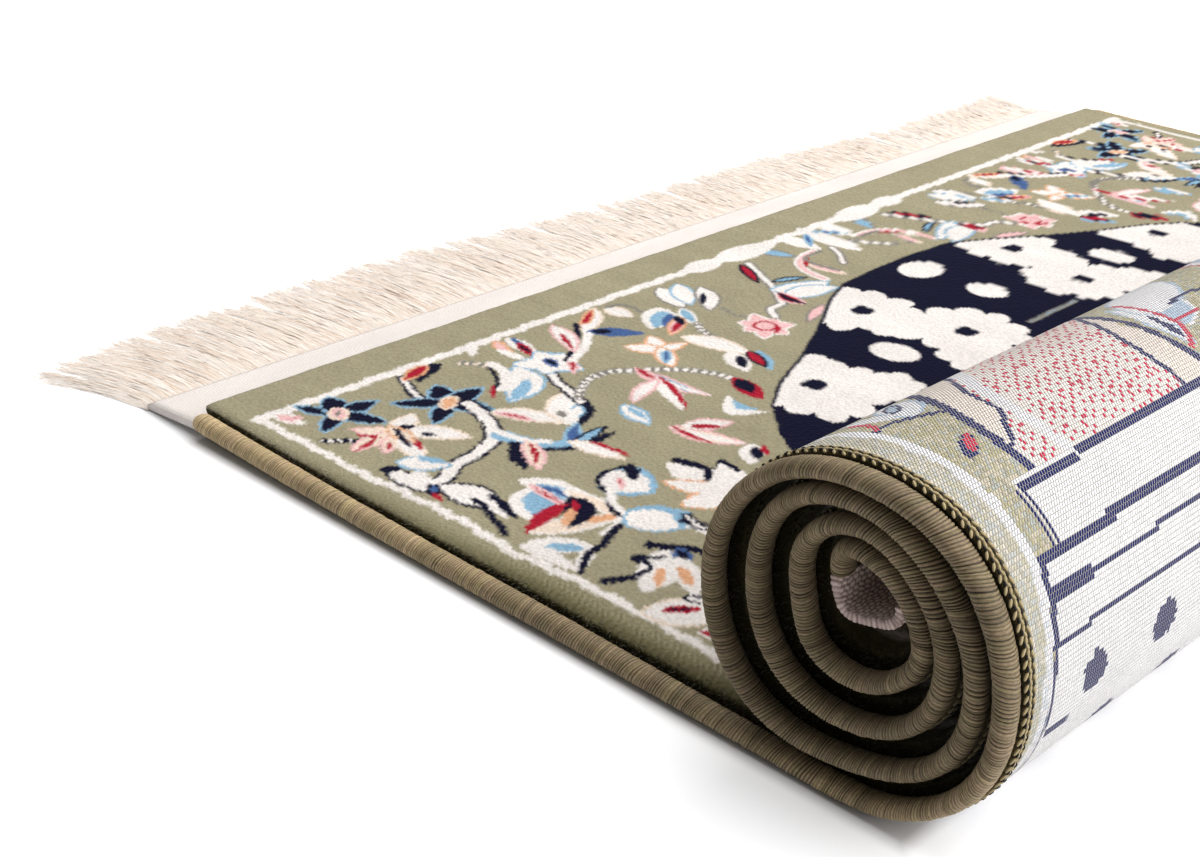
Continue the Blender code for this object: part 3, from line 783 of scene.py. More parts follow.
ARCH_BLOSSOMS = (
    Blossom(6, 580, 76, 17, 11, 40, 4, "navy/cream|red"),
    Blossom(6, 606, 112, 17, 11, 10, 4, "light_blue/white|red"),
    Blossom(6, 630, 84, 18, 12, 70, 5, "navy/white|light_blue"),
    Blossom(6, 646, 142, 18, 12, 0, 5, "navy/cream|red"),
    Blossom(6, 668, 96, 19, 12, 30, 5, "navy/white|red"),
    Blossom(6, 672, 180, 18, 12, 60, 4, "light_blue/white|navy"),
    Blossom(6, 672, 250, 18, 12, 0, 5, "navy/cream|red"),
    Blossom(6, 680, 320, 18, 12, 45, 4, "navy/white|light_blue"),
)
GARDEN_STARTS = 706.0  # rows of flowers fill the rest, inside the roll
GARDEN_MARGIN = 45.0  # and stop this far before the pile's end
GARDEN_SIDE = 50.0
GARDEN_PITCH = 46.0
GARDEN_FLOWER = Blossom(6, 0, 0, 16, 10, 0, 4, "")
GARDEN_COLOURS = (
    "navy/white|red", "light_blue/white|navy", "peach/cream|red", "navy/cream|peach",
)
CURVE_STEPS = 8


def curve_points(points):
    """Places along a smooth curve through a stem's own points."""
    rows = np.array(points, float)
    before = np.vstack((2 * rows[0] - rows[1], rows[:-1]))
    after = np.vstack((rows[1:], 2 * rows[-1] - rows[-2]))
    slope = (after - before) / 2
    t = np.linspace(0, 1, CURVE_STEPS, endpoint=False)[:, None]
    runs = [hermite(t, *ends) for ends in zip(rows, rows[1:], slope, slope[1:])]
    return np.vstack((*runs, rows[-1:]))


def blade(place, broad, shape):
    """Half the breadth of a leaf or petal at a place on it, from 0 at its foot to 1 at its tip."""
    low, full = shape
    return broad / 2 * np.sin(math.pi * place ** low) ** full


def wavering(place, slow, quick):
    """How far a woven line's edge strays at a place on it, up to about a knot."""
    return 0.5 * np.sin(place / slow) + 0.4 * np.sin(place / quick)


class Weaving:
    """The colours of many knots, laid on motif by motif."""

    def __init__(self, along, across, colours, soft):
        far = across > AXIS
        self.along = along
        self.across = np.where(far, AXIS - (across - AXIS) * FAR_HALF_SHARE, across)
        self.colours, self.soft = colours, soft
        self.colour = np.tile(np.array(colours.olive), (len(along), 1))

    def lay(self, colour, beyond, where=slice(None)):
        """Lay a colour where the distance beyond a shape's edge is below zero."""
        cover = np.clip(0.5 - beyond / self.soft, 0, 1)[:, None]
        self.colour[where] += cover * (np.array(getattr(self.colours, colour)) - self.colour[where])

    def around(self, along, across, reach):
        """The knots within reach of a place, and where they are from it."""
        near = (abs(self.along - along) < reach) & (abs(self.across - across) < reach)
        where = np.flatnonzero(near)
        return where, self.along[where] - along, self.across[where] - across

    def rings(self, colours, beyond, where):
        """Colours one inside the other, each outline a knot wide."""
        for number, colour in enumerate(colours.split("/")):
            self.lay(colour, beyond + KNOT * number, where)

    def blossom(self, row):
        """Pointed petals, each a little its own length, round a heart."""
        where, a, c = self.around(row.along, row.across, row.reach * 1.2 + 2)
        beyond = np.full(len(where), FAR_OFF)
        for number in range(row.petals):
            angle = math.radians(row.turn) + 2 * math.pi * number / row.petals
            length = row.reach * (1 + PETAL_UNEVEN * math.sin(2.3 * number + row.along))
            out = (a * math.cos(angle) + c * math.sin(angle)) / length
            side = c * math.cos(angle) - a * math.sin(angle)
            past = length * np.maximum(0, abs(out - 0.5) - 0.5)
            half = blade(np.clip(out, 0, 1), row.broad, PETAL_SHAPE)
            beyond = np.minimum(beyond, np.hypot(side, past) - half)
        petals, _, heart = row.colours.partition("|")
        self.rings(petals, beyond, where)
        if heart:
            self.rings(heart, np.hypot(a, c) - row.heart, where)

    def cloud(self, row, limit, colour="white"):
        """A round scalloped flower, kept inside a limit."""
        where, a, c = self.around(row.along, row.across, row.reach * 1.2)
        angle = np.arctan2(c, a)
        lobe = abs(np.cos(row.lobes * (angle + math.radians(row.turn)) / 2)) ** 0.7
        own = 1 + 0.06 * np.sin(3 * angle + row.along) + 0.04 * np.sin(5 * angle + row.across)
        edge = row.reach * own * (1 - LOBE_DEPTH + LOBE_DEPTH * lobe)
        self.lay(colour, np.maximum(np.hypot(a, c) - edge, limit[where]), where)

    def leaf(self, row):
        """A leaf from its foot to its tip, bowed to one side, with a streak along its middle."""
        start = np.array((row.along, row.across), float)
        run = np.array((row.to_along, row.to_across)) - start
        length = np.linalg.norm(run)
        heading = run / length
        where, a, c = self.around(*(start + run / 2), length / 2 + row.broad)
        t = (a * heading[0] + c * heading[1]) / length + 0.5
        inside = np.clip(t, 0, 1)
        side = c * heading[0] - a * heading[1] - row.bow * 4 * inside * (1 - inside)
        away = np.hypot(side, length * np.maximum(0, abs(t - 0.5) - 0.5))
        half = blade(inside, row.broad, LEAF_SHAPE)
        colours = row.colours.split("/")
        self.rings("/".join(colours[:2]), away - half, where)
        for colour in colours[2:]:
            self.lay(colour, away - STREAK * half, where)

    def stem(self, row):
        """A stem along a smooth curve; a plus in its colours sets its inside in beads."""
        line = curve_points(row.points)
        low, high = line.min(axis=0), line.max(axis=0)
        centre = (low + high) / 2
        where, a, c = self.around(*centre, (high - low).max() / 2 + row.thick)
        place = np.stack((a, c), axis=1) + centre
        away, done = np.full(len(where), 1e9), np.zeros(len(where))
        gone = 0.0
        for start, stop in zip(line, line[1:]):
            run = stop - start
            length = np.linalg.norm(run)
            share = np.clip((place - start) @ run / length ** 2, 0, 1)
            apart = np.linalg.norm(place - start - share[:, None] * run, axis=1)
            nearer = apart < away
            away[nearer], done[nearer] = apart[nearer], gone + length * share[nearer]
            gone += length
        beyond = away - row.thick / 2
        if "+" in row.colours:
            outer, inner = row.colours.split("+")
            self.lay(outer, beyond, where)
            self.lay(inner, beyond + KNOT / 2 + 2 * KNOT * (np.sin(done * 1.5) > 0), where)
            return
        self.rings(row.colours, beyond, where)

    def motif(self, row):
        draw = {Stem: self.stem, Leaf: self.leaf, Blossom: self.blossom}[type(row)]
        draw(row)

    def oval(self, row, colour, limit, ragged=0.0):
        """An oval kept inside a limit, its edge ragged by single knots."""
        reach = max(row.half_along, row.half_across) + 2 * KNOT
        where, a, c = self.around(row.along, row.across, reach)
        beyond = np.hypot(a / row.half_along, c / row.half_across) - 1
        beyond *= min(row.half_along, row.half_across)
        knot = np.floor(self.along[where] / KNOT), np.floor(self.across[where] / KNOT)
        beyond += ragged * (scatter(*knot) - 0.5)
        self.lay(colour, np.maximum(beyond, limit[where]), where)

    def rule(self, row):
        """A straight navy line one to three knots thick."""
        start = np.array((row.along, row.across), float)
        run = np.array((row.to_along, row.to_across)) - start
        a, c = self.along - start[0], self.across - start[1]
        share = np.clip((a * run[0] + c * run[1]) / (run @ run), 0, 1)
        self.lay("navy", np.hypot(a - share * run[0], c - share * run[1]) - row.thick / 2)

    def dome(self):
        """The navy dome, its white scalloped flowers with dark eyes, and its white ovals."""
        edge = read(DOME_EDGE, self.across, left=PILE_LENGTH)
        limit = np.maximum((edge - self.along) * DOME_SLOPE, self.along - PANEL_STARTS)
        self.lay("navy", limit)
        for row in CLOUDS:
            self.cloud(row, limit + KNOT)
        for row in DOME_OVALS:
            self.oval(row, "white", limit)
        for along, across in EYES:
            self.cloud(Cloud(4, along, across, EYE_REACH, 45), limit, "navy")
        self.stem(DOME_THREAD)

    def panel(self):
        """The white panel with its rows of navy ovals and its navy rules."""
        limit = np.maximum.reduce((
            read(PANEL_EDGE, self.along) - self.across, PANEL_STARTS - self.along,
            self.along - ARCH_STARTS,
        ))
        self.lay("pale", limit)
        starts, stops = PANEL_LINE
        past = (self.along < starts) | (self.along > stops)
        self.lay("navy", abs(limit + PANEL_LINE_INSET) - PANEL_LINE_HALF + FAR_OFF * past)
        for along, first in PANEL_OVAL_ROWS:
            for across in np.arange(first, AXIS, PANEL_OVAL_PITCH):
                self.oval(Oval(along, across, *PANEL_OVAL_HALF), "navy", limit, OVAL_UNEVEN)
        for row in PANEL_RULES:
            self.rule(row)

    def arch(self):
        """The arch: a navy line, then a wide band sown with slanting red dashes."""
        share = np.hypot((self.along - ARCH_STARTS) / ARCH_HEIGHT, (AXIS - self.across) / ARCH_HALF)
        before = ARCH_STARTS - self.along
        slope = 1 / (0.5 / ARCH_HEIGHT + 0.5 / ARCH_HALF)

        def within(outer):
            return np.maximum((share - outer) * slope, before)

        self.lay("navy", within(1.0))
        self.lay("ecru", within(ARCH_LINE))
        self.lay("red", np.maximum(within(DASHES_START), 1.0 - 2.0 * self.dashes()))
        line = read(SPANDREL, self.along, left=0)
        self.lay("cream", np.maximum(within(ARCH_LINE), self.across - line))
        self.lay("navy", within(DASHES_END))
        self.lay("cream", within(INNER_LINE))
        inner = read(ARCH_SIDE, self.along, right=AXIS)
        self.lay("olive", np.maximum(within(INNER_LINE), inner - self.across))
        for row in ARCH_LEAVES:
            self.leaf(row)
        for row in ARCH_STEMS:
            self.stem(row)

    def dashes(self):
        """Whether each knot is on one of the arch's short slanting dashes."""
        down, over = DASH_PITCH
        lane = np.floor(self.across / over)
        place = self.along / down + DASH_STEP * lane + DASH_STRAY * scatter(lane, lane)
        row = np.floor(place)
        lane = (self.across - DASH_SLANT * (place - row)) / over
        own = scatter(row, np.floor(lane))
        least, more = DASH_LENGTH
        on_dash = (place - row < least + more * own) & (lane - np.floor(lane) < DASH_BREADTH)
        return on_dash & (own < DASH_HELD)

    def garden(self):
        """Flowers in staggered rows over the rest of the rug, which lies inside the roll."""
        rows = np.arange(GARDEN_STARTS, PILE_LENGTH - GARDEN_MARGIN, GARDEN_PITCH)
        for number, along in enumerate(rows):
            first = GARDEN_SIDE + GARDEN_PITCH / 2 * (number % 2)
            for place, across in enumerate(np.arange(first, AXIS, GARDEN_PITCH)):
                colours = GARDEN_COLOURS[(number + place) % len(GARDEN_COLOURS)]
                turn = 40 * number + 70 * place
                self.blossom(GARDEN_FLOWER._replace(
                    along=along, across=across, turn=turn, colours=colours,
                ))

    def border(self):
        """The white line inside the olive border, its edges uneven by a knot."""
        from_end = np.minimum(self.along, PILE_LENGTH - self.along)
        side = read(SIDE_LINE, self.along)
        end = read(END_LINE, self.across)
        wobble = wavering(self.across, 2.9, 1.3)
        ends = np.maximum(abs(from_end - end + wobble), side - self.across)
        sway = wavering(self.along, 3.1, 1.25)
        sway[self.along >= ROLL_STARTS * 1000] *= BACK_SWAY
        sides = np.maximum(abs(self.across - side + sway), end - from_end)
        self.lay("white", np.minimum(ends - END_LINE_HALF, sides - SIDE_LINE_HALF))


def strayed(along, across):
    """Places on the pile as its knots show them: each knot strays a little from the drawing."""
    row, column = np.floor(along / PILE_KNOT), np.floor(across / PILE_KNOT)
    ragged = 2 * RAGGED * read(RAGGED_SHARE, across)
    stray_along = scatter(row, column) - 0.5
    stray_across = scatter(column + 31, row) - 0.5
    return along + ragged * stray_along, across + ragged * stray_across


def woven(along, across, colours, soft):
    """Yarn colours at places on the cloth, given in millimetres."""
    weaving = Weaving(along, across, colours, soft)
    weaving.border()
    for row in FLOWERS + ARCH_BLOSSOMS:
        weaving.motif(row)
    weaving.dome()
    weaving.garden()
    weaving.arch()
    weaving.panel()
    return weaving.colour


# Finishes

class Finish:
    """A material and the nodes added to it."""

    def __init__(self, name, roughness, specular, sheen=0.0):
        self.material = bpy.data.materials.new(name)
        self.material.use_nodes = True
        self.tree = self.material.node_tree
        self.shader = self.tree.nodes["Principled BSDF"]
        self.shader.inputs["Roughness"].default_value = roughness
        self.shader.inputs["Specular IOR Level"].default_value = specular
        self.shader.inputs["Sheen Weight"].default_value = sheen

    def node(self, kind, inputs=None, **settings):
        made = self.tree.nodes.new("ShaderNode" + kind)
        for key, value in settings.items():
            setattr(made, key, value)
        for socket, value in (inputs or {}).items():
            if isinstance(value, bpy.types.NodeSocket):
                self.tree.links.new(value, made.inputs[socket])
            else:
                made.inputs[socket].default_value = value
        return made.outputs

    def yarn(self):
        """The yarn's colour with any painted light and shade, and as its alpha how much warp and weft
        show beside it.
        """
        return self.node("Attribute", attribute_name="yarn_colour_and_painted_light")

    def place(self):
        """The place on the cloth: along it and across it."""
        return self.node("UVMap", uv_map="cloth_place")["UV"]

    def parts(self, place):
        return self.node("SeparateXYZ", {0: place})

    def noise(self, scale, detail=2.0, stretch=(1.0, 1.0, 1.0), place=None):
        """Noise on a place or in the piece's own space, its features about 1 / scale across."""
        if place is None:
            place = self.node("TexCoord")["Object"]
        turned = self.node("Mapping", {"Vector": place, "Scale": stretch})["Vector"]
        return self.node("TexNoise", {"Vector": turned, "Scale": scale, "Detail": detail})["Fac"]

    def between(self, value, low, high, start=0.3, stop=0.7):
        """A value's own range spread from low to high."""
        inputs = {0: value, 1: start, 2: stop, 3: low, 4: high}
        return self.node("MapRange", inputs)["Result"]

    def maths(self, operation, first, second=0.0):
        return self.node("Math", {0: first, 1: second}, operation=operation)["Value"]

    def ribs(self, value, pitch):
        """Rounded ribs across a value, one to each pitch: 0 between two of them and 1 on a crest."""
        wave = self.maths("SINE", self.maths("MULTIPLY", value, math.pi / pitch))
        return self.maths("ABSOLUTE", wave)

    def shaded(self, colour, *shares):
        """A colour made lighter or darker by each share in turn."""
        for share in shares:
            grey = self.node("CombineColor", {0: share, 1: share, 2: share})["Color"]
            inputs = {"Fac": 1.0, "Color1": colour, "Color2": grey}
            colour = self.node("MixRGB", inputs, blend_type="MULTIPLY")["Color"]
        return colour

    def mixed(self, share, first, second):
        return self.node("MixRGB", {"Fac": share, "Color1": first, "Color2": second})["Color"]

    def use(self, colour, height=None, depth=0.0, strength=1.0):
        """Take a colour and, where a height is given, bumps up to a depth in metres."""
        self.tree.links.new(colour, self.shader.inputs["Base Color"])
        if height is not None:
            bump = self.node("Bump", {"Height": height, "Distance": depth, "Strength": strength})
            self.tree.links.new(bump["Normal"], self.shader.inputs["Normal"])
        return self.material


def pile_finish():
    """Cut pile: tufts a knot across, fine fibres, and patches brushed lighter or darker."""
    made = Finish("cut_pile", roughness=0.95, specular=0.08, sheen=0.04)
    tufts = made.noise(620, detail=1.0)
    fibres = made.noise(2300)
    brushed = made.noise(24, detail=3.0, stretch=(1.0, 2.6, 1.0))
    colour = made.shaded(
        made.yarn()["Color"], made.between(tufts, 0.90, 1.06), made.between(fibres, 0.90, 1.07),
        made.between(brushed, 0.94, 1.05),
    )
    height = made.maths("ADD", tufts, made.maths("MULTIPLY", fibres, 0.5))
    return made.use(colour, height, depth=0.0008, strength=0.7)


KNOT_LEAN = -0.7  # how far a float leans across the rug over its own row, in knots


def back_finish(colours):
    """The back of the weave: a small rounded float for each knot, in rows across the rug."""
    made = Finish("woven_back", roughness=0.8, specular=0.2, sheen=0.03)
    knots, yarn = made.parts(made.place()), made.yarn()
    within = made.maths("SUBTRACT", made.maths("FRACT", knots["X"]), 0.5)
    leaning = made.maths("ADD", knots["Y"], made.maths("MULTIPLY", within, KNOT_LEAN))
    rows, columns = made.ribs(knots["X"], 1.0), made.ribs(leaning, 1.0)
    floats = made.maths("MULTIPLY", made.maths("POWER", rows, 0.4), made.maths("POWER", columns, 0.8))
    fibres = made.noise(1900)
    patches = made.noise(55)
    plain = made.maths("SUBTRACT", 1.0, yarn["Alpha"])
    off_warp = made.maths("MAXIMUM", made.between(columns, 0.0, 1.0, 0.22, 0.46), plain)
    # painted shade: the weft in the gaps between rows of knots
    row_gap_shade = made.maths("MAXIMUM", made.between(rows, 0.0, 1.0, 0.03, 0.24), plain)
    colour = made.mixed(off_warp, (*colours.warp, 1.0), yarn["Color"])
    colour = made.mixed(row_gap_shade, (*colours.weft, 1.0), colour)
    # painted shade between the floats; fibres and patches vary the tone
    colour = made.shaded(
        colour, made.between(floats, 0.84, 1.03, 0.0, 0.8), made.between(fibres, 0.88, 1.10),
        made.between(patches, 0.97, 1.03),
    )
    height = made.maths("ADD", floats, made.maths("MULTIPLY", fibres, 0.25))
    return made.use(colour, height, depth=0.00045)


def thread_finish():
    """Wound edge thread, a little glossy, its fine fibres running round the edge."""
    made = Finish("edge_thread", roughness=0.62, specular=0.3, sheen=0.05)
    fibres = made.noise(1.0, detail=3.0, stretch=(2.6, 16.0, 1.0), place=made.place())
    patches = made.noise(45)
    colour = made.shaded(
        made.yarn()["Color"], made.between(fibres, 0.74, 1.18), made.between(patches, 0.88, 1.1),
    )
    return made.use(colour, fibres, depth=0.0003, strength=0.8)


WARP_PITCH = 0.0011  # of the flat-woven strips
WEFT_PITCH = 0.0016


def strip_finish(colours):
    """Flat weave at the rug's end: cream weft over straight warps."""
    made = Finish("flat_weave", roughness=0.9, specular=0.15, sheen=0.05)
    place = made.parts(made.place())
    warps, wefts = made.ribs(place["Y"], WARP_PITCH), made.ribs(place["X"], WEFT_PITCH)
    ribs = made.maths("ADD", made.maths("MULTIPLY", warps, 0.5), made.maths("MULTIPLY", wefts, 0.5))
    fibres = made.noise(1500)
    patches = made.noise(40, stretch=(1.0, 0.4, 1.0))
    # painted shade between the ribs of warp and weft; fibres and patches vary the tone
    colour = made.shaded(
        (*colours.strip, 1.0), made.between(ribs, 0.86, 1.02, 0.2, 0.9),
        made.between(fibres, 0.93, 1.05), made.between(patches, 0.95, 1.03),
    )
    return made.use(colour, made.maths("ADD", ribs, fibres), depth=0.0004, strength=0.8)


def core_finish():
    """Coarse bundles of yarn at the rolled end."""
    made = Finish("core_weave", roughness=0.8, specular=0.15, sheen=0.05)
    fibres = made.noise(2000)
    colour = made.shaded(made.yarn()["Color"], made.between(fibres, 0.86, 1.08))
    return made.use(colour, fibres, depth=0.0002, strength=0.5)


def fringe_finish():
    """Soft loose cotton: light passes from strand to strand."""
    made = Finish("fringe_yarn", roughness=0.95, specular=0.05)
    made.shader.inputs["Subsurface Weight"].default_value = 0.2
    made.shader.inputs["Subsurface Radius"].default_value = (1.0, 0.9, 0.8)
    made.shader.inputs["Subsurface Scale"].default_value = 0.002
    fibres = made.noise(2000)
    return made.use(made.shaded(made.yarn()["Color"], made.between(fibres, 0.95, 1.03)))


GLOW_STARTS = 0.03  # behind the rug the floor glows from this far under its end


def floor_finish(look):
    """A plain pale floor with painted light: it glows past the rug, and not under it or close beside
    it, which leaves painted shade there.
    """
    made = Finish("pale_floor", roughness=0.6, specular=0.3)
    colour = made.shaded((*look.floor, 1.0), made.between(made.noise(3.0), 0.99, 1.01))
    place = made.parts(made.node("TexCoord")["Object"])
    beside = made.maths("SUBTRACT", made.maths("ABSOLUTE", place["Y"]), CLOTH_HIGH.y)
    before = made.maths("SUBTRACT", CLOTH_LOW.x, place["X"])
    behind = made.maths("SUBTRACT", place["X"], CLOTH_HIGH.x - GLOW_STARTS)
    away = made.maths("MAXIMUM", made.maths("MAXIMUM", beside, before), behind)
    glow = made.between(away, 0.0, look.floor_glow, 0.0, 0.006)
    made.shader.inputs["Emission Color"].default_value = (1.0, 1.0, 1.0, 1.0)
    made.tree.links.new(glow, made.shader.inputs["Emission Strength"])
    return made.use(colour)


# Pieces. In the tables below a row holds a place along the rug, unless its comment says another
# place, and the value there.

def graded(start, *runs):
    """Places from a start on, each run (stop, step) with its own spacing."""
    parts = []
    for stop, step in runs:
        parts.append(np.linspace(start, stop, max(1, round((stop - start) / step)), endpoint=False))
        start = stop
    return np.append(np.concatenate(parts), start)


def from_side(sizes, across):
    """How far places are from the nearer side of the rug."""
    return np.minimum(across, sizes.width - across)


# The pile

LOCKS_ACROSS = ((0.019, 1.0), (0.024, 0.0))  # from the rug's side: separate locks show beside it
LOCKS_ALONG = ((0.15, 0.15), (0.21, 1.0))  # and more of them towards the roll
LOCK_DEPTH = 0.0004
LOCK_SHADE = 0.22
ROLLED_SHADE = 0.6  # shade beside the edge on the roll
TUFT_PITCH = 0.0017
TUFT_UNEVEN = 0.0001  # how unevenly the tufts stand up, as a whole range
SIDE_UNEVEN = 0.00056  # and out, at the pile's sides
SWELL = 0.00018  # the slow rise and fall of the pile
SOFT_FROM = 0.004  # pile lower than this is less uneven
LEAST_PILE = 0.00006
END_SLUMP = 0.003  # how far the pile leans over the flat end
SLUMP_ALONG = 0.02  # within this length of it
SLUMP_OVER = 0.007  # for this height over the ground
SIDE_LEAN = ((0.29, 0.0018), (0.335, 0.0))  # how far it leans over its edges
# painted shade on the pile's sides; where the value is below zero, painted light
SIDE_SHADE = ((0.08, -0.60), (0.19, 0.30), (0.31, 0.55), (0.36, 0.85))
UPPER_SIDE = 0.9  # as a share of the pile's height: its side ends here
LOWER_SIDE = 0.72  # and is in deep shade up to here
LOWER_SHADE = 0.75
TURNED_SHADE = ((0.0115, 0.55), (0.0185, 0.0))  # from the rug's side: shade on the shoulder
TURNED_ALONG = ((0.05, 0.0), (0.20, 1.0))
SHADED_TINT = (1.0, 1.02, 1.3)  # the painted shade on the pile takes more of the blue than of the red


def locks(along, across):
    """The rise and fall of the pile's locks, from -1 to 1."""
    rows = np.sin(along * 2300 + 1.7 * np.sin(across * 900))
    return rows * np.sin(across * 2100 + np.sin(along * 700))


def pile_shade(sizes, along, across, share):
    """Painted shade on the pile: how much of their light places keep, in its sides' and hollows' own
    shade; where the side's value is below zero, painted light.
    """
    edge = from_side(sizes, across)
    beside = read(LOCKS_ACROSS, edge)
    on_side = (share < UPPER_SIDE) & (share > 0)
    side = read(SIDE_SHADE, along) * on_side * (1.0 - 0.4 * share)
    side = np.where(share < LOWER_SIDE, np.maximum(side, LOWER_SHADE * on_side), side)
    hollow = LOCK_SHADE * beside * read(LOCKS_ALONG, along) * (1 - locks(along, across))
    rolled = ROLLED_SHADE * beside * (along > ROLL_STARTS)
    turned = read(TURNED_SHADE, edge) * read(TURNED_ALONG, along)
    return (1 - side) * (1 - hollow) * (1 - rolled) * (1 - turned)


def pile_piece(name, lie, sizes, finish, colours, along, top):
    """Part of the pile: one closed body on the ground, its sides rounded over."""
    inset, rise = (np.array(column) for column in zip(*SHOULDER))
    side = sizes.cord_width + GAP
    across = np.concatenate((side + inset, top, sizes.width - side - inset[::-1]))
    share = np.concatenate((rise, np.ones(len(top)), rise[::-1]))
    along, across = np.meshgrid(along, across, indexing="ij")
    height = lie.at(along)[2]
    foot = lie.ground + GAP / 3
    soft = np.minimum(1.0, np.maximum(0.0, height - foot) / SOFT_FROM)
    tuft = scatter(np.round(along / TUFT_PITCH), np.round(across / TUFT_PITCH)) - 0.5
    depth = LOCK_DEPTH * read(LOCKS_ACROSS, from_side(sizes, across)) * read(LOCKS_ALONG, along)
    uneven_top = SWELL * uneven(along, across) + TUFT_UNEVEN * tuft
    full = height + soft * (uneven_top - depth * (1 + locks(along, across)))
    over = foot + share * np.maximum(LEAST_PILE, full - foot)
    outwards = np.where(across < sizes.width / 2, -1.0, 1.0) * soft
    wall = SIDE_UNEVEN * tuft * (share < UPPER_SIDE) * (share > 0)
    lean = read(SIDE_LEAN, along) * share ** 2 * (share < 1)
    slump = END_SLUMP * (over - foot) / SLUMP_OVER * np.maximum(0, 1 - along / SLUMP_ALONG) ** 2
    points = lie.points(along - slump, across + outwards * (wall + lean), over)
    piece = lofted(name, points, finish)
    give_places(piece, along, across)
    colour = woven(*strayed(along.ravel() * 1000, across.ravel() * 1000), colours, PILE_SOFT)
    # painted shade, and painted light near the flat end, laid into the pile's colours
    kept = pile_shade(sizes, along, across, share).ravel()[:, None]
    give_colours(piece, colour * kept ** np.array(SHADED_TINT))
    return settle(piece, "pile", "rug_cloth")


TUFT_RISE = (0.0003, 0.0006)  # how far a tuft's tip is over its foot: middle and spread
TUFT_DRIFT = 0.0007  # how far along the rug it strays
TUFT_OUT = (0.0005, 0.0019)  # how far it stands out of the side
TUFT_LOW = (0.003, 0.004)  # tufts are short on pile this low, and full where it is this much higher
TUFT_THICK = (0.00022, 0.00042)
TUFT_SUNK = 0.0003  # how far its foot is within the side
TUFT_BELOW = 0.0004  # and the highest foot under the pile's top
TUFT_SHADE = 0.32  # most light that reaches the tufts of the side
TUFT_TONE = (0.75, 1.1)
TUFT_FACES = ((0, 1, 2), (0, 3, 1), (1, 3, 2), (2, 3, 0))


def tuft_piece(lie, sizes, finish, colours):
    """Loose tufts that stand out from the pile's two long sides."""
    draws = np.random.default_rng(5)
    count = sizes.tufts
    insets, shares = zip(*SHOULDER)
    turn = 2 * math.pi * np.arange(3) / 3
    groups, tones = [], []
    for side in (-1, 1):
        along = draws.uniform(0.001, lie.pile_end - 0.001, count)
        share = draws.uniform(0.05, 1.0, count)
        height = lie.at(along)[2]
        over = lie.ground + share * np.maximum(0.0005, height - lie.ground - TUFT_BELOW)
        wall = sizes.cord_width + GAP + np.interp(share, shares, insets)
        low, more = TUFT_LOW
        out = draws.uniform(*TUFT_OUT, count) * np.clip((height - low) / more, 0.2, 1)
        tip = np.minimum(over + draws.normal(*TUFT_RISE, count), height)
        drift = draws.normal(0, TUFT_DRIFT, count)
        thick = draws.uniform(*TUFT_THICK, count)[:, None]
        foot_across = (wall + TUFT_SUNK)[:, None] * np.ones(3)
        lean = read(SIDE_LEAN, along) * share ** 2
        a = np.hstack((along[:, None] + thick * np.cos(turn), (along + drift)[:, None]))
        c = np.hstack((foot_across, (wall - out)[:, None])) - lean[:, None]
        c = c if side < 0 else sizes.width - c
        h = np.hstack((over[:, None] + thick * np.sin(turn), tip[:, None]))
        groups.append((lie.points(a, c, h), TUFT_FACES))
        # painted shade on the tufts: those of the side keep at most TUFT_SHADE of their light, the
        # upper ones 0.7 of it
        lit = 1 - 0.9 * np.maximum(0.0, read(SIDE_SHADE, along))
        lit = np.where(share < UPPER_SIDE, np.minimum(lit, TUFT_SHADE), 0.7 * lit)
        tone = np.array(colours.olive) * (lit * draws.uniform(*TUFT_TONE, count))[:, None]
        tones.append(np.repeat(tone, 4, axis=0))
    piece = joined("pile_tufts", groups, finish)
    piece.data.shade_flat()
    give_colours(piece, np.concatenate(tones))
    return settle(piece, "pile", "rug_cloth")


# The woven ground

FLECKS = (("light_blue", 0.0, 0.20), ("grey", 0.20, 0.32), ("cream", 0.32, 0.62))
FLECK_SHARE = 0.38  # how far a fleck's colour covers the knot's own
STITCHED = 0.0132  # from the rug's side: the stitches cover the ground up to here
OLIVE_BORDER = 0.0215  # and the plain border ends here
BORDER_PALER = 0.22
KNOT_TONE = (0.94, 0.10)  # the darkest knots, and how much lighter others are
SAME_COLOUR = 0.03
COVERED_SHADE = (0.40, 0.34, 0.27)  # light that reaches the ground inside the roll
# painted shade: only this share of the pale warp shows inside the roll
COVERED_WARP = 0.1


def knot_colours(sizes, colours, along, across, knots):
    """Each knot's colour on the back, and how much warp and weft show beside it."""
    colour = woven(along * 1000, across * 1000, colours, BACK_SOFT)
    own = scatter(*np.floor(knots))
    edge = from_side(sizes, across)
    border = edge < OLIVE_BORDER
    plain = abs(colour - np.array(colours.olive)).sum(axis=1) < SAME_COLOUR
    for tint, low, high in FLECKS:
        fleck = (border | plain) & (own >= low) & (own < high)
        colour[fleck] += FLECK_SHARE * (np.array(getattr(colours, tint)) - colour[fleck])
    colour[border] += BORDER_PALER * (np.array(colours.white) - colour[border])
    least, more = KNOT_TONE
    colour *= (least + more * own)[:, None]
    covered = along > ROLL_COVERED
    # painted shade on the ground inside the roll
    colour[covered] *= np.array(COVERED_SHADE)
    # painted shade under the stitches
    colour[edge < STITCHED] = np.array(colours.under_stitch_shade)
    warp = (edge >= STITCHED) * np.where(covered, COVERED_WARP, 1.0)
    return colour, warp * np.clip(0.8 + colour.mean(axis=1), 0, 1)


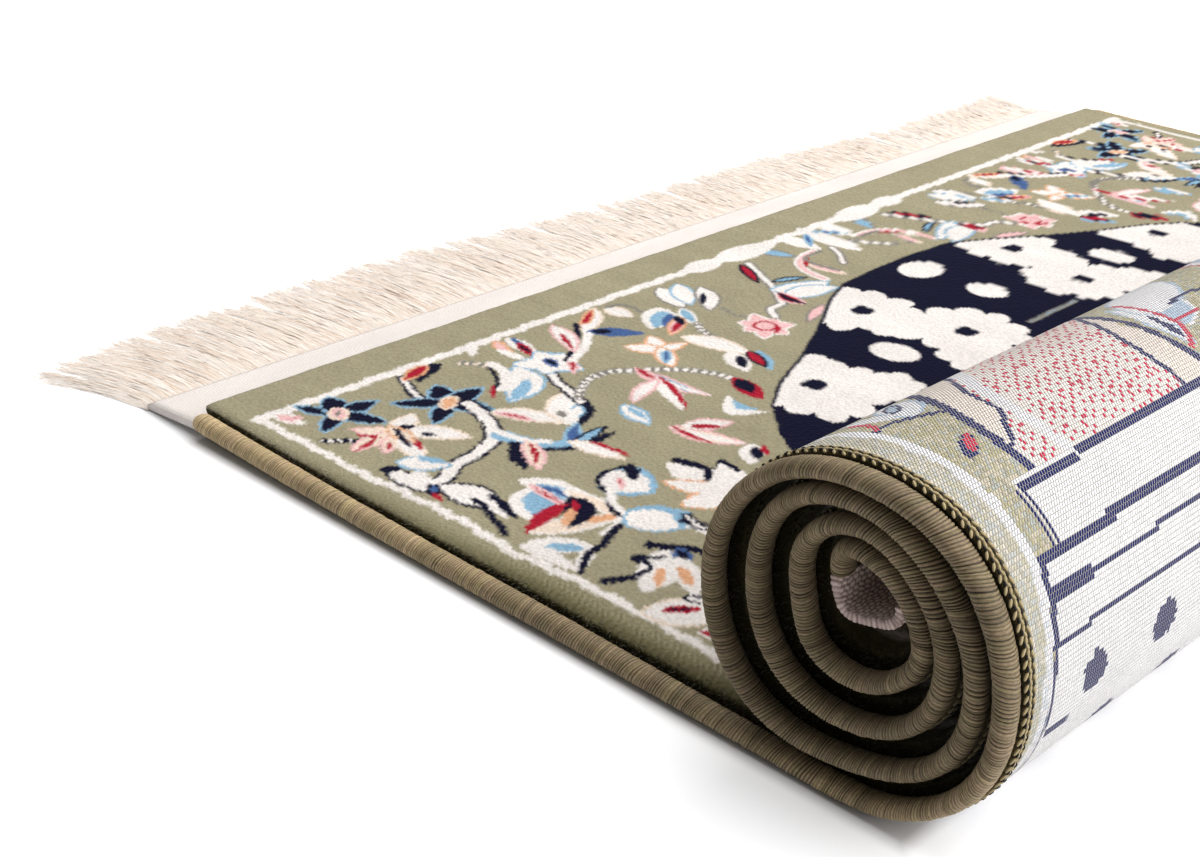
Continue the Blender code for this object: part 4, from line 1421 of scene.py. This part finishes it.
def ground_piece(name, lie, sizes, finish, colours, along, across):
    """Part of the woven ground: its back in knots, its hidden face plain."""
    start, side = along[0], across[0]
    face = np.zeros(len(across) + 2)
    face[-2:] = lie.ground - GAP / 3
    along, across = np.meshgrid(along, np.append(across, (across[-1], side)), indexing="ij")
    piece = lofted(name, lie.points(along, across, face), finish)
    give_places(piece, (along - start) / sizes.knot_along, (across - side) / sizes.knot_across)
    middle = ((along[:-1] + along[1:]) / 2).ravel()
    beside = ((across + np.roll(across, -1, axis=1)) / 2)[:-1].ravel()
    knots = np.stack(((middle - start) / sizes.knot_along, (beside - side) / sizes.knot_across))
    colour, warp = knot_colours(sizes, colours, middle, beside, knots)
    shown = np.hstack((colour, warp[:, None]))
    shown = np.vstack((shown, shown[:1], shown[-1:]))
    corners = np.empty(len(piece.data.polygons), dtype=np.int32)
    piece.data.polygons.foreach_get("loop_total", corners)
    shown = np.repeat(shown, corners, axis=0)
    give_colours(piece, shown[:, :3], "CORNER", shown[:, 3:])
    return settle(piece, "woven_ground", "rug_cloth")


# The flat-woven strips

CORE_ROW = 0.0017  # one bundle of yarn of the coarse strip, along the rug
CORE_COLUMN = 0.0026  # and across it
CORE_HIGH = 0.00055
CORE_RIM_SHADE = 0.55  # painted shade: light kept at the coarse strip's two long rims


def strip_piece(name, lie, finish, along, across, relief=None):
    """A flat-woven strip, both faces of it; relief raises its bundles of yarn."""
    upper = np.arange(2 * len(across)) >= len(across)
    along, across = np.meshgrid(along, np.concatenate((across, across[::-1])), indexing="ij")
    raised = relief(along, across) if relief else np.zeros(along.shape)
    points = lie.points(along, across, np.where(upper, lie.ground + raised, -raised))
    points[..., 2] = np.maximum(points[..., 2], 0.0)
    piece = lofted(name, points, finish)
    give_places(piece, along, across)
    return piece, raised


def core_relief(along, across):
    """Relief of a coarse weave: bundles about two millimetres across, set like bricks."""
    row = along / CORE_ROW + 0.16 * np.sin(across * 700) + 0.08 * np.sin(across * 1900 + along * 400)
    column = across / CORE_COLUMN + 0.20 * np.sin(along * 900 + 1) + 0.5 * np.floor(row)
    bundle = abs(np.sin(math.pi * row)) ** 0.5 * abs(np.sin(math.pi * column)) ** 0.4
    return CORE_HIGH * bundle * (0.8 + 0.2 * scatter(np.floor(row), np.floor(column)))


# The overcast edges

EDGE_PAINTED_LIGHT = (  # painted light: how much paler the thread is, at the flat end and at the roll's foot
    (0.0, 2.3), (0.10, 2.0), (0.20, 1.45), (0.31, 1.35), (0.36, 1.6), (0.40, 1.3), (0.44, 1.0),
)
THICK_EDGE = ((0.0, 1.26), (0.22, 1.22), (0.31, 1.0))  # and how much thicker the edge
THREAD_UNEVEN = 0.34  # how much wider or narrower than the others a wound thread is, at most
GROOVE = (0.25, 0.70)  # depth of the groove between two threads: the least, and how much more
OPEN_GROOVE = (0.7, 0.14)  # extra depth where two threads part, and the share of them that do
GROOVE_DEPTH = 0.12  # a whole groove's depth, as a share of the edge's size
GROOVE_SHADE = (0.30, 0.75)  # shade in a groove: in any of them, and more with its depth
LOOSE = 0.016  # how far single threads stand out, as a share of the edge's size
THREAD_LEAN = 0.0005  # how far along the rug a thread runs ahead from the edge's top to its side
THREAD_CLIMB = 0.0014  # and from its middle to its top
THREAD_SWAY = ((0.0005, 190, 0), (0.0003, 430, 1))  # slow changes of that lean
THREAD_TONE = 0.09
THREAD_HUE = (0.03, 0.0, 0.05)
PALEST = 0.7


def cord_piece(name, lie, sizes, finish, colours, middle, rings_a_rib, sides):
    """An overcast edge: thread wound round and round an oval core, each turn a little its own."""
    first, last = 2 * GAP, lie.pile_end - 2 * GAP
    ribs = round((last - first) / sizes.rib_pitch)
    draws = np.random.default_rng(11)
    width = 1 + THREAD_UNEVEN * (draws.random(ribs) - 0.5) * 2
    starts = np.concatenate(((0.0,), np.cumsum(width)))
    starts = first + (last - first) * starts / starts[-1]
    phase = np.arange(rings_a_rib) / rings_a_rib
    station = (starts[:-1, None] + phase * np.diff(starts)[:, None]).ravel()
    station = np.append(station, last)
    phase = np.append(np.tile(phase, ribs), 0.0)
    rib = np.minimum(np.arange(len(station)) // rings_a_rib, ribs - 1)
    loose = draws.normal(0, 1, ribs)[rib]
    tone = draws.normal(0, 1, ribs)[rib]
    least, more = GROOVE
    extra, parted = OPEN_GROOVE
    groove = (least + more * draws.random(ribs) + extra * (draws.random(ribs) < parted))[rib]
    crest = np.sin(math.pi * phase) ** 0.6
    angle = 2 * math.pi * (np.arange(sides) + 0.5) / sides
    sway = sum(size * np.sin(station * rate + start) for size, rate, start in THREAD_SWAY)
    slant = (THREAD_LEAN + sway)[:, None] * np.sin(angle - math.pi / 2)
    slant = slant + THREAD_CLIMB * np.sin(angle)
    tip = np.minimum(station - first, last - station) / CORD_TIP
    share = CORD_END_SHARE + (1 - CORD_END_SHARE) * rounded(tip)
    place = np.clip(station[:, None] + slant * np.minimum(tip, 1)[:, None], first, last)
    swell = ((1 - GROOVE_DEPTH * groove * (1 - crest) + LOOSE * loose * crest) * share)[:, None]
    across = middle + swell * sizes.cord_width / 2 * np.cos(angle)
    thick = sizes.cord_thick * read(THICK_EDGE, station)[:, None]
    over = thick / 2 + swell * thick / 2 * np.sin(angle)
    points = lie.points(place, across, over)
    points[..., 2] = np.maximum(points[..., 2], 0.0)
    piece = lofted(name, points, finish)
    lit, dark = np.array(colours.thread), np.array(colours.thread_shade)
    always, deep = GROOVE_SHADE
    # painted shade in the grooves between wound threads, from thread to thread_shade
    mix = np.clip(1 - (always + deep * groove) * (1 - crest ** 1.6), 0, 1)[:, None]
    # painted light along the edge, times each thread's own tone
    pale = ((1 + THREAD_TONE * tone) * read(EDGE_PAINTED_LIGHT, station))[:, None]
    colour = np.minimum(PALEST, (dark + mix * (lit - dark)) * pale)
    colour = colour * (1 + np.sin(3 * tone + 1)[:, None] * np.array(THREAD_HUE))
    give_colours(piece, np.repeat(colour, sides, axis=0))
    turn = np.tile(np.arange(sides) / sides, len(station))
    give_places(piece, np.repeat(rib + phase, sides), turn)
    return settle(piece, "edge_thread", name)


# Stitches beside the edges on the back: a stitch starts at a share of their pitch, lies this far
# from the rug's side, leans across the rug by an angle and stands out of the back
STITCHES = (
    Stitch(0.5, 0.0089, 0.75, 0.0001, 0.0030, 0.0011, 0.0010, "loop"),
    Stitch(0.0, 0.0095, 0.10, 0.0004, 0.0017, 0.0010, 0.0008, "hole"),
    Stitch(0.25, 0.0106, 0.45, 0.0001, 0.0027, 0.0012, 0.0010, "loop"),
    Stitch(0.75, 0.0108, -0.45, 0.0001, 0.0027, 0.0012, 0.0010, "loop"),
    Stitch(0.5, 0.0117, 0.10, 0.0004, 0.0017, 0.0010, 0.0008, "hole"),
    Stitch(0.0, 0.0126, -0.35, 0.0001, 0.0028, 0.0013, 0.0009, "loop"),
)
STITCH_RINGS = 5
STITCH_SIDES = 6
STITCH_STRAY = 0.25  # how far a stitch's angle strays, as a whole range
STITCHES_START = ROLL_STARTS + 0.02
NEAR_STITCHES_LEFT = 0.035  # the near side's stitches end this far before the pile does
FAR_STITCHES_END = ROLL_COVERED - 0.004
# painted shade on the stitches inside the roll
COVERED_STITCH_SHADE = 0.6


def bead(length, width, height):
    """A small closed bead: its points (along, across, over) and its faces."""
    rings, sides = STITCH_RINGS, STITCH_SIDES
    turn = 2 * math.pi * np.arange(sides) / sides
    local = [(-0.5, 0.0, 0.0)]
    for t in np.linspace(0, math.pi, rings + 2)[1:-1]:
        half = 0.5 * math.sin(t)
        local += [(-0.5 * math.cos(t), half * math.cos(a), half * math.sin(a)) for a in turn]
    local.append((0.5, 0.0, 0.0))
    faces = [(0, 1 + i, 1 + (i + 1) % sides) for i in range(sides)]
    for low in range(1, 1 + (rings - 1) * sides, sides):
        for i in range(sides):
            j = (i + 1) % sides
            faces.append((low + i, low + sides + i, low + sides + j, low + j))
    end, low = 1 + rings * sides, 1 + (rings - 1) * sides
    faces += [(low + (i + 1) % sides, low + i, end) for i in range(sides)]
    return np.array(local) * (length, width, height), faces


def stitch_piece(lie, sizes, finish, colours):
    """Stitches beside both edges on the back, and the needle holes between them as dark beads of
    painted shade.
    """
    groups, tones = [], []
    for far, stop in enumerate((lie.pile_end - NEAR_STITCHES_LEFT, FAR_STITCHES_END)):
        along = np.arange(STITCHES_START, stop, sizes.stitch_pitch)[:, None]
        shade = np.where(along > ROLL_COVERED, COVERED_STITCH_SHADE, 1.0)[..., None]
        for row in STITCHES:
            local, faces = bead(row.length, row.width, row.height)
            stray = scatter(np.round(along * 1e4), row.across * 1000) - 0.5
            tilt = row.lean + STITCH_STRAY * stray
            start = along + row.start * sizes.stitch_pitch
            a = start + local[:, 0] * np.cos(tilt) - local[:, 1] * np.sin(tilt)
            c = row.across + local[:, 0] * np.sin(tilt) + local[:, 1] * np.cos(tilt)
            c = sizes.width - c if far else c
            groups.append((lie.points(a, c, local[:, 2] - row.out), faces))
            colour = np.array(getattr(colours, row.colour))
            tones.append((colour * shade * np.ones((1, len(local), 1))).reshape(-1, 3))
    piece = joined("edge_stitches", groups, finish)
    give_colours(piece, np.concatenate(tones))
    return settle(piece, "edge_thread", "rug_cloth")


# The fringe

FRINGE_LIE = (  # how long its strands are and how far they lean, across the rug
    StrandLie(0.000, 0.066, -0.018), StrandLie(0.060, 0.076, -0.010),
    StrandLie(0.200, 0.078, -0.004), StrandLie(0.340, 0.062, 0.002),
    StrandLie(0.470, 0.060, 0.004), StrandLie(0.590, 0.046, 0.007),
    StrandLie(0.700, 0.050, 0.016),
)
STRAND_STEPS = 6
STRAND_SIDES = 3
STRAND_HALF = 0.0007
STRAND_FLAT = 0.30  # a strand's thickness as a share of its width
STRAND_ROOT = 0.0012  # how far under the strip it starts
STRAND_HIGH = (0.0004, 0.0009)  # height of the lowest strand, and how much higher others lie
STRAND_WAVE = 0.0007  # how far it waves from side to side
STRAND_RIPPLE = 0.0002  # and up and down
STRAND_LOWEST = 0.00005  # nothing of it lies lower over the floor
CLUMP_WIDTH = 0.0052  # strands that lie together in a loose lock
CLUMP_LENGTH = 0.10  # how much longer than others a lock is, as a share
CLUMP_LEAN = 0.006
CLUMP_PULL = 0.55  # how far its strands draw together at their tips
LENGTH_SPREAD = 0.0032  # spread of the single strands
LEAN_SPREAD = 0.0022
BOW_SPREAD = 0.0016
WARM_SHARE = 0.18  # share of the strands that are warm
PALE_FROM = 0.62  # and those from here up are pale


def fringe_piece(sizes, finish, colours):
    """The fringe: fine strands lying on the floor, drawn together into loose locks."""
    draws = np.random.default_rng(3)
    count = sizes.strands
    root = np.sort(draws.uniform(STRIP_INSET, sizes.width - STRIP_INSET, count))[:, None]
    places, lengths, leans = zip(*FRINGE_LIE)
    clump = np.floor(root / CLUMP_WIDTH)
    own = scatter(clump, 1.0) - 0.5
    length = np.interp(root, places, lengths) * (1 + CLUMP_LENGTH * own)
    length = length + draws.normal(0, LENGTH_SPREAD, count)[:, None]
    lean = np.interp(root, places, leans) + CLUMP_LEAN * own
    lean = lean + draws.normal(0, LEAN_SPREAD, count)[:, None]
    pull = CLUMP_PULL * ((clump + 0.5) * CLUMP_WIDTH - root)
    bow = draws.normal(0, BOW_SPREAD, count)[:, None]
    wave = draws.uniform(0, 2 * math.pi, count)[:, None]
    layer = draws.uniform(0, 1, count)[:, None]
    t = np.linspace(0, 1, STRAND_STEPS + 1)[None, :]
    x = -STRIP_LENGTH + STRAND_ROOT - (length + STRAND_ROOT) * t
    y = root + lean * t ** 1.8 + pull * t + bow * np.sin(math.pi * t)
    y = y + STRAND_WAVE * np.sin(9 * t + wave)
    low, more = STRAND_HIGH
    crown = low + more * layer * np.sin(math.pi * np.minimum(1, t * 1.15)) ** 0.8
    z = crown * (1 - 0.55 * t) + STRAND_RIPPLE * np.sin(13 * t + wave)
    half = (STRAND_HALF * (1 - 0.6 * t ** 2))[..., None]
    turn = 2 * math.pi * np.arange(STRAND_SIDES) / STRAND_SIDES + math.pi / 2
    across = y[..., None] + half * np.cos(turn)
    over = np.maximum(STRAND_LOWEST, z[..., None] + STRAND_FLAT * half * np.sin(turn))
    along = np.broadcast_to(x[..., None], across.shape)
    shapes = np.stack((along + CORNER[0], across + CORNER[1], over), axis=-1).reshape(count, -1, 3)
    faces = ring_faces(STRAND_STEPS + 1, STRAND_SIDES)
    piece = joined("fringe_strands", [(shapes, faces)], finish)
    piece.data.shade_flat()
    pick = draws.uniform(0, 1, count)[:, None]
    base, warm, pale = (np.array(c) for c in (colours.fringe, colours.fringe_warm, colours.fringe_pale))
    strand = np.where(pick < WARM_SHARE, warm, np.where(pick > PALE_FROM, pale, base))
    strand = strand * (1 - 0.12 * np.clip(1 - root / 0.02, 0, 1))
    strand = strand * draws.uniform(0.93, 1.05, count)[:, None]
    give_colours(piece, np.repeat(strand, shapes.shape[1], axis=0))
    return settle(piece, "fringe_yarn", "fringe")


# Operators

KEPT = {}


def lie_of(sizes):
    """The cloth's lie, worked out once for all pieces of the same thickness."""
    key = sizes.ground_thick, sizes.cloth_thick
    if key not in KEPT:
        KEPT[key] = Lie(*key)
    return KEPT[key]


def deselect():
    for piece in bpy.context.selected_objects:
        piece.select_set(False)


PILE_NEAR = 0.170  # across the rug: the pile is finest up to here
PILE_MIDDLE = 0.364
MIDDLE_STEP = 0.0014
FAR_STEP = 0.0036
ROLLED_STEP = 0.0042  # steps of the pile inside the roll: along the rug
ROLLED_SIDE_STEP = 0.004  # across it near its sides
ROLLED_ACROSS_STEP = 0.020  # and across its middle
ROLLED_SIDE = 0.040
PILE_START = (0.0, 0.0002, 0.0006, 0.0011)  # places on the rounded ends of the pile
PILE_STOP = (0.003, 0.002, 0.0012, 0.0006, 0.0002, 0.0)


class RUG_OT_pile(bpy.types.Operator):
    """Make the pile with its woven design"""

    bl_idname = "rug.pile"
    bl_label = "Pile"

    def execute(self, context):
        sizes, colours = context.scene.rug_sizes, context.scene.pile_colours
        lie, finish = lie_of(sizes), pile_finish()
        step, width = sizes.pile_step, sizes.width
        inner = sizes.cord_width + GAP + SHOULDER[-1].inset
        along = np.append(PILE_START[:-1], graded(PILE_START[-1], (PILE_PARTS, step)))
        top = graded(
            inner + step, (PILE_NEAR, step), (PILE_MIDDLE, MIDDLE_STEP),
            (width - inner - 0.003, FAR_STEP),
        )
        made = pile_piece("pile_flat", lie, sizes, finish, colours, along, top)
        stop = lie.pile_end - np.array(PILE_STOP)
        along = np.append(graded(PILE_PARTS, (stop[0], ROLLED_STEP)), stop[1:])
        top = graded(
            inner + 0.002, (ROLLED_SIDE, ROLLED_SIDE_STEP), (width - ROLLED_SIDE, ROLLED_ACROSS_STEP),
            (width - inner - 0.002, ROLLED_SIDE_STEP),
        )
        made = pile_piece("pile_rolled", lie, sizes, finish, colours, along, top)
        tuft_piece(lie, sizes, finish, colours)
        return {"FINISHED"}


FINE_KNOTS = 300  # knots across, from the near side, that are made one by one
FINE_ROWS = 160  # and rows of them along the rug, from where the back starts to show
FAR_KNOT_STEP = 0.0020
TURNED_AWAY = 0.66  # along the rug: the back faces the roll's far side from here
BACK_STEPS = ((TURNED_AWAY, 0.0025), (ROLL_COVERED, 0.005))
HIDDEN_ACROSS = 0.010
FLAT_STEP = 0.006  # under the flat stretch
INNER_STEP = 0.003  # and inside the roll


class RUG_OT_ground(bpy.types.Operator):
    """Make the woven ground, whose back shows on the roll"""

    bl_idname = "rug.ground"
    bl_label = "Woven ground"

    def execute(self, context):
        sizes, colours = context.scene.rug_sizes, context.scene.back_colours
        lie, finish = lie_of(sizes), back_finish(colours)
        near = sizes.cord_width + GAP
        far = sizes.width - near
        row, knot = sizes.knot_along, sizes.knot_across
        hidden = graded(near, (far, HIDDEN_ACROSS))
        shown = graded(near, (near + FINE_KNOTS * knot, knot), (far, FAR_KNOT_STEP))
        rows = graded(ROLL_STARTS, (ROLL_STARTS + FINE_ROWS * row, row), *BACK_STEPS)
        parts = (
            ("ground_flat", graded(0.0, (ROLL_STARTS, FLAT_STEP)), hidden),
            ("ground_outer", rows, shown),
            ("ground_inner", graded(ROLL_COVERED, (lie.pile_end, INNER_STEP)), hidden),
        )
        for name, along, across in parts:
            made = ground_piece(name, lie, sizes, finish, colours, along, across)
        return {"FINISHED"}


STRIP_STEP = 0.0012
STRIP_ACROSS = 0.006
CORE_FINE_ACROSS = 0.034  # the coarse strip shows in the roll's mouth up to here
CORE_STEPS = (0.00036, 0.00034)  # and there its steps are this fine, along and across
CORE_HIDDEN_STEP = 0.020
FULL_CORE = 0.0005  # relief from which its yarn has its full colour; lower relief has painted shade


class RUG_OT_strips(bpy.types.Operator):
    """Make the flat-woven strips at both ends"""

    bl_idname = "rug.strips"
    bl_label = "End strips"

    def execute(self, context):
        sizes, colours = context.scene.rug_sizes, context.scene.yarn_colours
        lie = lie_of(sizes)
        near, far = STRIP_INSET, sizes.width - STRIP_INSET
        along = graded(-STRIP_LENGTH, (-GAP / 3, STRIP_STEP))
        across = graded(near, (far, STRIP_ACROSS))
        made, _ = strip_piece("strip_flat_end", lie, strip_finish(colours), along, across)
        settle(made, "woven_ground", "rug_cloth")
        stop, (down, over) = lie.place[-1], CORE_STEPS
        along = graded(lie.pile_end + GAP / 3, (stop, down))
        across = graded(near, (CORE_FINE_ACROSS, over), (far, CORE_HIDDEN_STEP))
        made, raised = strip_piece(
            "strip_rolled_end", lie, core_finish(), along, across, core_relief,
        )
        # painted shade in the hollows between bundles and on the two rims
        lit, shade = np.array(colours.core), np.array(colours.core_shade)
        share = np.clip(raised.ravel() / FULL_CORE, 0, 1)[:, None] ** 0.8
        tone = np.ones(raised.shape)
        tone[:, [0, -1]] = CORE_RIM_SHADE
        give_colours(made, (shade + share * (lit - shade)) * tone.reshape(-1, 1))
        settle(made, "woven_ground", "rug_cloth")
        return {"FINISHED"}


NEAR_THREAD = (4, 16)  # rings to each wound thread, and corners round it
FAR_THREAD = (3, 10)


class RUG_OT_edges(bpy.types.Operator):
    """Make the overcast edges and the stitches beside them"""

    bl_idname = "rug.edges"
    bl_label = "Overcast edges"

    def execute(self, context):
        sizes, colours = context.scene.rug_sizes, context.scene.yarn_colours
        lie, finish = lie_of(sizes), thread_finish()
        near = sizes.cord_width / 2
        cord_piece("edge_cord_near", lie, sizes, finish, colours, near, *NEAR_THREAD)
        cord_piece("edge_cord_far", lie, sizes, finish, colours, sizes.width - near, *FAR_THREAD)
        stitch_piece(lie, sizes, finish, colours)
        return {"FINISHED"}


class RUG_OT_fringe(bpy.types.Operator):
    """Make the fringe of the flat end"""

    bl_idname = "rug.fringe"
    bl_label = "Fringe"

    def execute(self, context):
        scene = context.scene
        fringe_piece(scene.rug_sizes, fringe_finish(), scene.yarn_colours)
        return {"FINISHED"}


LAMPS = (
    Lamp("ceiling_light", (0.2, 0.7, 2.1), 3.2, 94.0, (1.0, 0.99, 0.98)),
    Lamp("window_light", (1.6, 0.6, 0.9), 1.5, 35.0, (1.0, 0.99, 0.98)),
)
CAMERA_PLACE = (0.59482, -0.33881, 0.31822)  # from the pile's near corner at the flat end
CAMERA_AIM = (-0.64807, 0.63004, -0.42786)
FLOOR_LOW = 0.0004
PICTURE_GAMMA = 0.88


def placed(context, name, data, place, aim):
    """A lamp or camera at a place, turned to look along its aim."""
    holder = bpy.data.objects.new(name, data)
    context.collection.objects.link(holder)
    holder.location = place
    holder.rotation_euler = Vector(aim).to_track_quat("-Z", "Y").to_euler()
    return holder


class RUG_OT_stage(bpy.types.Operator):
    """Make the floor, lights and camera"""

    bl_idname = "rug.stage"
    bl_label = "Floor, light and camera"

    def execute(self, context):
        scene, look = context.scene, context.scene.stage_look
        deselect()
        bpy.ops.mesh.primitive_plane_add(size=look.floor_size, location=(0, 0, -FLOOR_LOW))
        floor = context.active_object
        floor.name = "floor"
        floor.data.materials.append(floor_finish(look))
        for lamp in LAMPS:
            light = bpy.data.lights.new(lamp.name, "AREA")
            light.size, light.energy, light.color = lamp.size, lamp.power, lamp.tint
            placed(context, lamp.name, light, lamp.place, -Vector(lamp.place))
        world = bpy.data.worlds.new("studio")
        world.use_nodes = True
        air = world.node_tree.nodes["Background"]
        air.inputs["Color"].default_value = (1.0, 1.0, 1.0, 1.0)
        air.inputs["Strength"].default_value = look.air_light
        scene.world = world
        scene.view_settings.view_transform = "Standard"
        scene.view_settings.gamma = PICTURE_GAMMA
        camera = bpy.data.cameras.new("camera")
        camera.sensor_width, camera.lens, camera.clip_start = 36.0, look.lens, 0.01
        place = Vector(CAMERA_PLACE) + Vector((*CORNER, 0.0))
        scene.camera = placed(context, "camera", camera, place, CAMERA_AIM)
        return {"FINISHED"}


class RUG_PT_panel(bpy.types.Panel):
    """The rug's operators and settings"""

    bl_idname = "RUG_PT_panel"
    bl_label = "Prayer rug"
    bl_space_type = "VIEW_3D"
    bl_region_type = "UI"
    bl_category = "Rug"

    def draw(self, context):
        for maker in MAKERS:
            self.layout.operator(maker.bl_idname)
        for name in SETTINGS:
            group = getattr(context.scene, name)
            box = self.layout.box()
            for key in group.bl_rna.properties.keys():
                if key not in ("rna_type", "name"):
                    box.prop(group, key)


MAKERS = (RUG_OT_stage, RUG_OT_pile, RUG_OT_ground, RUG_OT_strips, RUG_OT_edges, RUG_OT_fringe)
SETTINGS = {
    "rug_sizes": RugSizes, "pile_colours": PileColours, "back_colours": BackColours,
    "yarn_colours": YarnColours, "stage_look": StageLook,
}


def register():
    for group in SETTINGS.values():
        bpy.utils.register_class(group)
    for name, group in SETTINGS.items():
        setattr(bpy.types.Scene, name, PointerProperty(type=group))
    for maker in (*MAKERS, RUG_PT_panel):
        bpy.utils.register_class(maker)


def unregister():
    for maker in reversed((*MAKERS, RUG_PT_panel)):
        bpy.utils.unregister_class(maker)
    for name, group in SETTINGS.items():
        delattr(bpy.types.Scene, name)
        bpy.utils.unregister_class(group)


def main():
    register()
    bpy.ops.rug.stage()
    bpy.ops.rug.pile()
    bpy.ops.rug.ground()
    bpy.ops.rug.strips()
    bpy.ops.rug.edges()
    bpy.ops.rug.fringe()


if __name__ == "__main__":
    main()
